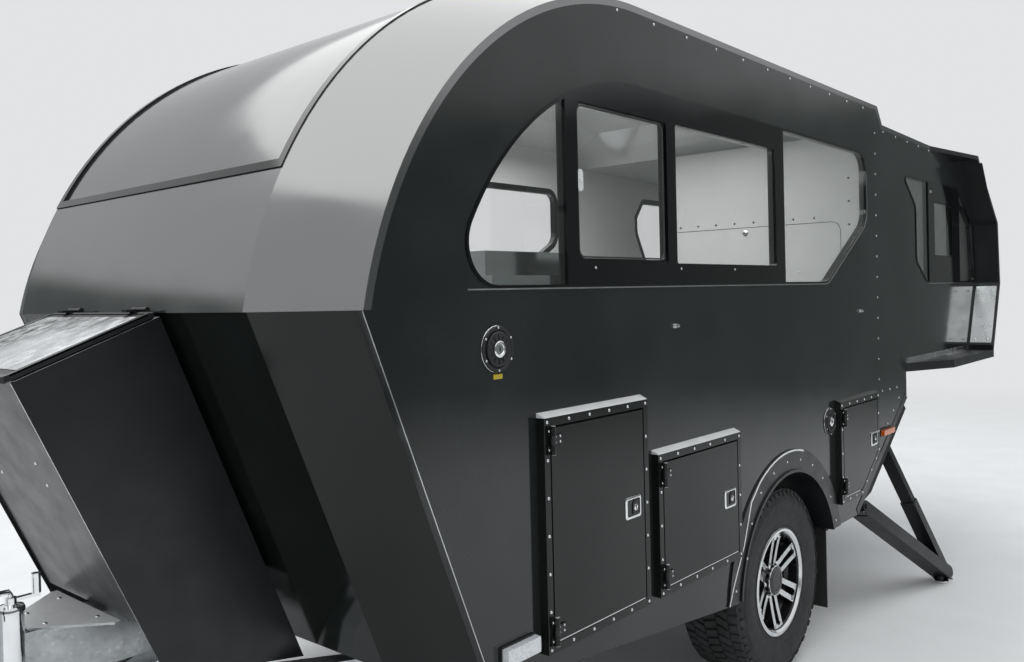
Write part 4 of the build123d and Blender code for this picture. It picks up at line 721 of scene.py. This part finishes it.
# Filler caps, the upper one with a tab under it
def add_filler_cap(bm, cap):
    """Flat ring with six screws, and a ribbed turning cap with its lock."""
    add_lathe(bm, [(61, -1), (61, 5), (59, 7.5), (54, 8), (51, 6.4), (49, 3), (0, 3)], cap, 0, 56)
    add_lathe(bm, [(46, 2), (46, 8.4), (44, 10.2), (40, 10.6), (37, 9.4), (24, 9.4)], cap, 0, 56)
    add_lathe(bm, [(61.6, -1), (61.6, 1.4), (61, 2)], cap, 2, 56)
    for i in range(6):
        turn = math.radians(30 + i * 60)
        screw = laid(cap, [(56.2 * math.cos(turn), 56.2 * math.sin(turn))], 7.6)[0]
        add_rivet(bm, screw, (0, 1, 0), 3.2, 1)
    for i in range(12):
        rib = cap @ Matrix.Rotation(i * math.tau / 12, 4, "Z")
        add_block(bm, (14, 4.6, 2.6), shifted(rib, 31.5, 0, 10.3), 0, 1.0)
    add_lathe(bm, [(22, 9), (22, 12), (19.5, 13.4), (15, 13.4), (13.5, 11.6), (0, 11.6)], cap, 2, 36)
    add_block(bm, (3, 13, 1.4), shifted(cap, 0, 0, 12.1), 0, 0.4)


UPPER_CAP = (1776, 1466)
LOWER_CAP = (-450, 1004)
bm = bmesh.new()
for x, z in (UPPER_CAP, LOWER_CAP):
    add_filler_cap(bm, on_side(x, SIDE, z))
add_block(bm, (34, 13, 3), on_side(UPPER_CAP[0], SIDE + 1.5, UPPER_CAP[1] - 72), 3, 1)
caps = piece("filler_cap_rings", bm, ["plastic", "rivet", "chrome", "yellow"], "body")
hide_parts("filler_caps")

# Front and side markers on dark bases, with a bright rim
bm = bmesh.new()
for hand in (1, -1):
    base = on_side(1721, SIDE + 2, 661, hand)
    add_slab(bm, rounded_box(72, 26, 8), base, -1.5, 4, 0)
    add_strip(bm, laid(base, rounded_box(65, 19, 6), 24), (0, hand, 0), 3, -1, 1.2, 1, True)
    add_slab(bm, rounded_box(86, 18, 6), on_side(-1180, SIDE + 1, 865, hand), -1, 5, 0)
piece("marker_bases", bm, ["plastic", "bright"], "body")

# Flared corner: bare strip low on its inner face, a matt black strip high up as painted shade where that
# face turns down, and bolts
def on_flare(y, z):
    """Point and normal on a flared corner's inner face, seen from ahead."""
    hit, point, normal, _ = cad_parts["rear_flares"].ray_cast(at(-2300, y, z), Vector((-1, 0, 0)))
    return (point, normal) if hit else None


bm = bmesh.new()
for hand in (1, -1):
    # The low strip is bare metal; the high strip is painted shade, a matt black sheet standing in for the
    # shade on the face's upper part
    for heights, mat in (((1230, 1410, 1590), 0), ((2020, 2200, 2360), 1)):
        seats = [found for found in (on_flare((SIDE + 72) * hand, z) for z in heights) if found]
        if len(seats) > 1:
            add_strip(bm, [seats[0][0], seats[-1][0]], seats[-1][1], 124, -0.3, 1.2, mat)
    for y, z in ((1010, 1250), (1085, 1250), (1010, 1560), (1085, 1560)):
        found = on_flare(y * hand, z)
        if found:
            add_rivet(bm, found[0] + found[1] * 0.001, found[1], 7, 2)
piece("flare_strips_and_painted_shade", bm, ["aluminium", "matt", "rivet"], "body")

# Bare angle under the raised section's side, and dark edge rail along the departure slope
bm = bmesh.new()
for hand in (1, -1):
    add_strip(bm, [at(-1545, SIDE * hand, 1198), at(-2795, SIDE * hand, 1198)], (0, hand, 0), 30, -0.4, 2.2)
piece("lower_angles", bm, ["aluminium"], "body")
bm = bmesh.new()
slope = math.atan2(DEPART[1][1] - DEPART[0][1], DEPART[0][0] - DEPART[1][0])
for hand in (1, -1):
    line = [at(x + 18 * math.sin(slope), SIDE * hand, z + 18 * math.cos(slope)) for x, z in DEPART]
    add_strip(bm, line, (0, hand, 0), 36, -0.4, 2.4)
piece("slope_edges", bm, ["satin"], "body")

# Bright cut edge of the side walls along the lower nose
bm = bmesh.new()
knee_x = ARC_X + math.sqrt(SIDE_R ** 2 - (KNEE_Z - ARC_Z) ** 2)
edge_top = KNEE_Z - 2
for hand in (1, -1):
    fold = at(knee_x + 0.5, (SIDE - 2) * hand, edge_top)
    foot = at(knee_x + 0.5 - NOSE_LEAN * (edge_top - NOSE_LOW), (SIDE - 2) * hand, NOSE_LOW)
    add_strip(bm, [fold, foot], (1, 0, -NOSE_LEAN), 2.6, -0.5, 0.6)
piece("nose_edges", bm, ["bright"], "body")

# Gas box: sheet and lip on the lid, bright edges, and screws in front
fall = (LID_REAR[1] - BOX_FRONT[1]) / (BOX_FRONT[0] - LID_REAR[0])
lid_turn = math.atan(fall)
along_lid = Vector((math.cos(lid_turn), 0, -math.sin(lid_turn)))
up_lid = Vector((math.sin(lid_turn), 0, math.cos(lid_turn)))
lid_place = place_on(at(LID_REAR[0] + 200, 0, LID_REAR[1] - 200 * fall + 20), up_lid, along_lid)
bm = bmesh.new()
add_block(bm, (560, 318, 2.0), shifted(lid_place, 0, 0, 0.6), 0, 0.8)
piece("lid_sheet", bm, ["marbled"], "box_lid")
bm = bmesh.new()
lip = rounded([(-BOX_HALF, -184), (BOX_HALF, -184), (BOX_HALF, 190), (-BOX_HALF, 190)], 7)
add_strip(bm, laid(lid_place, lip), up_lid, 12, -3, 2.2, 0, True)
piece("lid_lip", bm, ["leaf"], "box_lid")

bm = bmesh.new()
for hand in (1, -1):
    top = [at(2352, BOX_HALF * hand, 1568.6), at(2704, BOX_HALF * hand, 1432.4)]
    add_strip(bm, top, up_lid, 5.5, -1, 1.0)
    front = [at(2711.7, BOX_HALF * hand, BOX_FRONT[1]), at(2349.7, BOX_HALF * hand, 620)]
    add_strip(bm, front, (1, 0, -BOX_LEAN), 2.6, -1, 0.6)
piece("box_edges", bm, ["bright"], "body")
bm = bmesh.new()
for y, z in ((150, 1210), (150, 1150), (-150, 1210), (-150, 1150)):
    x = BOX_FRONT[0] - BOX_LEAN * (BOX_FRONT[1] - z) - 8
    add_rivet(bm, at(x, y, z), (1, 0, -BOX_LEAN), 5)
piece("box_screws", bm, ["rivet"], "body")

# Deck plate over the drawbar, with its fixing bolts
bm = bmesh.new()
deck_front = JOCKEY_X - 60
deck = [(-176, 199), (-160, 199), (-1, 60), (-1, -60), (-160, -199), (-176, -199)]
add_slab(bm, deck, Matrix.Translation(at(deck_front, 0, DECK_HIGH)), -0.5, 1.2, 0)
for x, y in ((-150, 120), (-150, -120), (-40, 60), (-40, -60)):
    add_rivet(bm, at(deck_front + x, y, DECK_HIGH + 1.2), (0, 0, 1), 7, 1)
piece("deck_sheet", bm, ["dulled", "rivet"], "body")

# Jockey wheel: collar, crank with its bent handle, and the clamp round its tube
def by_jockey(x, y, z):
    """Point in metres at a distance from the jockey wheel's upright axis."""
    return at(JOCKEY_X + x, JOCKEY_Y + y, z)


bm = bmesh.new()
tube = upright(JOCKEY_X, JOCKEY_Y, 0)
add_lathe(bm, [(30, 842), (33, 844), (33, 852), (30, 858), (14, 862), (14, 878), (0, 878)], tube, 0, 32)
crank = [by_jockey(0, 0, 862), by_jockey(0, 0, 884), by_jockey(6, 4, 894), by_jockey(90, 34, 905),
         by_jockey(112, 42, 902), by_jockey(118, 44, 880), by_jockey(118, 44, 838)]
add_tube(bm, crank, 7, 0, 14)
grip = upright(JOCKEY_X + 118, JOCKEY_Y + 44, 800)
add_lathe(bm, [(0, 0), (12, 1), (14, 6), (14, 62), (11, 68), (0, 68)], grip, 1, 20)
add_lathe(bm, [(31, 600), (37, 602), (37, 640), (31, 642)], tube, 2, 32)
add_block(bm, (26, 64, 26), upright(JOCKEY_X, JOCKEY_Y - 40, 621), 2, 3)
toggle = [by_jockey(36, -20, 621), by_jockey(56, -20, 621), by_jockey(60, -10, 621), by_jockey(60, 50, 621)]
add_tube(bm, toggle, 5, 0, 12)
piece("jockey_crank", bm, ["chrome", "plastic", "zinc"], "body")

# Coupling: bolts and the handle's grip
bm = bmesh.new()
for y in (-55, 55):
    for z in (500, 560, 620, 670):
        spot = place_on(at(3248, y, z), (1, 0, 0))
        add_lathe(bm, [(13, 0), (13, 2), (10, 2.4), (10, 10), (8.6, 11), (0, 11)], spot, 0, 6)
grip_line = [at(3330, 0, 592), at(3300, 0, 624), at(3286, 0, 636), at(3262, 0, 640)]
add_tube(bm, grip_line, 12, 1, 16)
piece("coupling_details", bm, ["zinc", "plastic"], "body")

# Wheels: tyres with their treads, and the trim on each rim
TREAD = [(-121, -80, 382), (-74, -30, 388.6), (-25, 25, 389), (30, 74, 388.6), (80, 121, 382)]
PITCHES = 60


def on_hub(hub, radius, turn, height):
    """Point in metres about a wheel's axle, its radius and height in millimetres."""
    return hub @ Vector((radius * math.cos(turn) / 1000, radius * math.sin(turn) / 1000, height / 1000))


def add_tread_block(bm, turn_0, turn_1, y0, y1, base, top, skew, hub):
    """Raised block on the tyre, its top a little smaller than its foot."""
    rings = []
    for radius, shrink in ((base, 0), (top - 1.5, 0.4), (top, 1.6)):
        less = shrink / top
        corners = [(turn_0 + less - skew, y0 + shrink), (turn_1 - less - skew, y0 + shrink),
                   (turn_1 - less + skew, y1 - shrink), (turn_0 + less + skew, y1 - shrink)]
        rings.append([bm.verts.new(on_hub(hub, radius, t, y)) for t, y in corners])
    for lower, upper in zip(rings, rings[1:]):
        join_rings(bm, lower, upper, 1)
    close(bm, rings[-1], 1)


def add_lug(bm, turn_0, turn_1, low, high, face, hub):
    """Lug that wraps from the tread's shoulder onto the sidewall."""
    rings = []
    for radius, height in ((low, 130.2), (low + 2, 134.7), (high, 126.5), (high + 7, 113)):
        rings.append([bm.verts.new(on_hub(hub, radius, t, face * height)) for t in (turn_0, turn_1)])
    for lower, upper in zip(rings, rings[1:]):
        close(bm, [lower[0], lower[1], upper[1], upper[0]], 1)
    for end, turn in ((0, turn_0), (1, turn_1)):
        foot = [bm.verts.new(on_hub(hub, r, turn, face * h)) for r, h in ((low, 126), (high, 112))]
        close(bm, [rings[0][end], rings[1][end], rings[2][end], foot[1], foot[0]], 1)


def make_tyre(side, hand):
    """Tyre of the wheel on one side, turned and set with blocks."""
    hub = on_side(0, 808, WHEEL_R, hand)
    half = [(205.4, 110), (210, 117), (222, 122), (231, 124.5), (236, 127.5), (241, 126.5), (262, 131.5),
            (296, 135.2), (316, 135.6), (322, 135.0), (326, 136), (340, 133.5), (344, 131), (356, 129),
            (367, 124), (374, 116), (378, 104), (379.5, 60), (380, 0)]
    profile = half + [(r, -h) for r, h in reversed(half[:-1])]
    bm = bmesh.new()
    add_lathe(bm, profile, hub, 0, 96)
    pitch = math.tau / PITCHES
    for i in range(PITCHES):
        for row, (y0, y1, top) in enumerate(TREAD):
            start = i * pitch + (row % 2) * pitch * 0.5
            long = pitch * (0.80 if row in (0, 4) else 0.74)
            skew = (0.006, 0.022, -0.018, 0.022, -0.006)[row]
            add_tread_block(bm, start, start + long, y0, y1, 372, top - 1.0 * (i % 2), skew, hub)
        for face in (-1, 1):
            start = (i + 0.25 * (face + 1)) * pitch
            low, high = (352, 373) if i % 2 else (360, 373)
            add_lug(bm, start, start + pitch * 0.62, low, high, face, hub)
    tyre = piece("road_tyre_" + side, bm, ["tyre", "tread"], "wheel_" + side)
    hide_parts("tyre_" + side)


def make_trim(side, hand):
    """Centre cap, rim ring, nuts, closed ends of the spoke pairs and the valve of one wheel."""
    hub = on_side(0, 0, WHEEL_R, hand)
    bm = bmesh.new()
    add_lathe(bm, [(60, 906), (60, 912), (57, 915.5), (40, 918), (38, 916.5), (0, 917.5)], hub, 1, 48)
    add_lathe(bm, [(60.5, 908), (62, 912.4), (60.5, 913.6), (58, 913.2)], hub, 0, 48)
    ring = [(219, 931), (220, 933.4), (216, 935.4), (206, 935.4), (203, 932.5), (198, 927)]
    add_lathe(bm, ring, hub, 0, 72)
    for i in range(6):
        nut = shifted(hub @ Matrix.Rotation(math.radians(i * 60), 4, "Z"), 73, 0, 0)
        add_lathe(bm, [(11, 884), (11, 900), (9, 904), (0, 905)], nut, 0, 6)
        turned = hub @ Matrix.Rotation(math.radians(30 + i * 60), 4, "Z")
        bends = [math.radians(-90 + step * 22.5) for step in range(9)]
        spoke_end = laid(turned, [(176 + 18 * math.cos(a), 22.5 * math.sin(a)) for a in bends], 920.5)
        add_strip(bm, spoke_end, (0, hand, 0), 20, -14, 2.2, 0)
    valve = shifted(hub @ Matrix.Rotation(math.radians(75), 4, "Z"), 186, 0, 0)
    add_lathe(bm, [(4, 900), (4, 921), (5, 922), (5, 934), (0, 935)], valve, 2, 12)
    piece("wheel_trim_" + side, bm, ["bright", "frit", "plastic"], "wheel_" + side)


for side, hand in (("left", 1), ("right", -1)):
    make_tyre(side, hand)
    make_trim(side, hand)

# Bare shoes under the rear legs
for side, hand in (("left", 1), ("right", -1)):
    bm = bmesh.new()
    shoe = [(0, 0.3), (37.5, 0.3), (39.5, 2), (39.5, 10.5), (37, 13), (17.5, 13.6)]
    add_lathe(bm, shoe, upright(FOOT_X, FOOT_Y * hand, 0), 0, 40)
    piece("leg_shoe_" + side, bm, ["bright"], "leg_arm_" + side)

# Inside: edge angle, seam, rivets and lock of the cross wall
bm = bmesh.new()
ahead = Vector((1, 0, 0))


def on_cross_wall(y, z):
    """Point on the front of the wall before the berth."""
    return at(CROSS_WALL_X, y, z)


add_strip(bm, [on_cross_wall(-262, 760), on_cross_wall(-262, 2280)], ahead, 26, 0, 1.6, 0)
for z in range(820, 2280, 120):
    add_rivet(bm, on_cross_wall(-262, z) + ahead * 0.0016, ahead, 6, 2)
seam = [(-180, 1950), (740, 1950), (772, 1937), (785, 1905), (785, 1500)]
add_strip(bm, [on_cross_wall(y, z) for y, z in seam], ahead, 3, 0, 0.8, 2)
for y in range(-160, 760, 115):
    add_rivet(bm, on_cross_wall(y, 1976), ahead, 6, 2)
for z in (2170, 2050, 1930):
    add_rivet(bm, on_cross_wall(830, z), ahead, 6, 2)
add_rivet(bm, on_cross_wall(555, 1690), ahead, 5, 1)
lock = place_on(on_cross_wall(250, 1920), ahead)
add_lathe(bm, [(17, 0), (17, 3), (14, 5), (9, 5), (9, 9), (0, 10)], lock, 3, 24)
piece("inner_wall_details", bm, ["white", "rivet", "plastic", "chrome"], "body")

# Studio: soft light for the object, a pale surround for camera, mirrors and panes
world = bpy.data.worlds.new("studio")
scene.world = world
world.use_nodes = True
tree = world.node_tree
soft = tree.nodes["Background"]
soft.inputs["Color"].default_value = (0.93, 0.96, 1.0, 1)
soft.inputs["Strength"].default_value = 0.62
seen = tree.nodes.new("ShaderNodeBackground")
seen.inputs["Strength"].default_value = 1.0
rays = tree.nodes.new("ShaderNodeLightPath").outputs
clear_rays = computed(tree, "MAXIMUM", rays["Is Camera Ray"], rays["Is Glossy Ray"])
all_rays = computed(tree, "MAXIMUM", clear_rays, rays["Is Transmission Ray"])

# Mirrors see a dark band with a ragged upper edge low down in the surround
direction = tree.nodes.new("ShaderNodeTexCoord").outputs["Generated"]
ragged = tree.nodes.new("ShaderNodeTexNoise")
ragged.inputs["Scale"].default_value = 5
tree.links.new(direction, ragged.inputs["Vector"])
edge = computed(tree, "MULTIPLY_ADD", ragged.outputs["Fac"], 0.08, axis_of(tree, direction, "Z"))
band = ranged(tree, edge, 1, 0, 0.225, 0.265)
dark_ray = computed(tree, "MULTIPLY", band, rays["Is Glossy Ray"])
tree.links.new(mixed(tree, dark_ray, (0.76, 0.77, 0.78), (0.15, 0.165, 0.16)), seen.inputs["Color"])
choice = tree.nodes.new("ShaderNodeMixShader")
tree.links.new(all_rays, choice.inputs["Fac"])
tree.links.new(soft.outputs["Background"], choice.inputs[1])
tree.links.new(seen.outputs["Background"], choice.inputs[2])
tree.links.new(choice.outputs["Shader"], tree.nodes["World Output"].inputs["Surface"])

# Pale floor that fades into the surround between two distances from the middle
FADE_FROM = 5.5
FADE_TO = 12
floor_mesh = bpy.data.meshes.new("floor")
corners = [(-30, -30, 0), (30, -30, 0), (30, 30, 0), (-30, 30, 0)]
floor_mesh.from_pydata(corners, [], [(0, 1, 2, 3)])
floor = bpy.data.objects.new("floor", floor_mesh)
scene.collection.objects.link(floor)
floor_mat, tree, shader = new_material("pale_floor")
speckle = ranged(tree, noise(tree, 3, 4), 0, 1)
tree.links.new(mixed(tree, speckle, (0.77, 0.78, 0.78), (0.82, 0.83, 0.83)), shader.inputs["Base Color"])
shader.inputs["Roughness"].default_value = 0.8
reach = tree.nodes.new("ShaderNodeVectorMath")
reach.operation = "LENGTH"
tree.links.new(object_coords(tree), reach.inputs[0])
tree.links.new(ranged(tree, reach.outputs["Value"], 1, 0, FADE_FROM, FADE_TO), shader.inputs["Alpha"])
floor.data.materials.append(floor_mat)


def area_light(name, place, aim, size, radiance):
    """Soft box of a size in metres, as bright as its radiance."""
    data = bpy.data.lights.new(name, "AREA")
    data.shape = "RECTANGLE"
    data.size = size[0]
    data.size_y = size[1]
    data.energy = radiance * math.pi * size[0] * size[1]
    lamp = bpy.data.objects.new(name, data)
    lamp.location = place
    lamp.rotation_euler = (Vector(aim) - Vector(place)).to_track_quat("-Z", "Y").to_euler()
    lamp.visible_camera = False
    scene.collection.objects.link(lamp)


area_light("sky_box", (0.5, -1.0, 8.5), (0.5, -1.0, 0), (16, 16), 1.2)
area_light("cabin_light", (0.3, 0, 2.42), (0.3, 0, 0), (2.4, 1.3), 3.6)
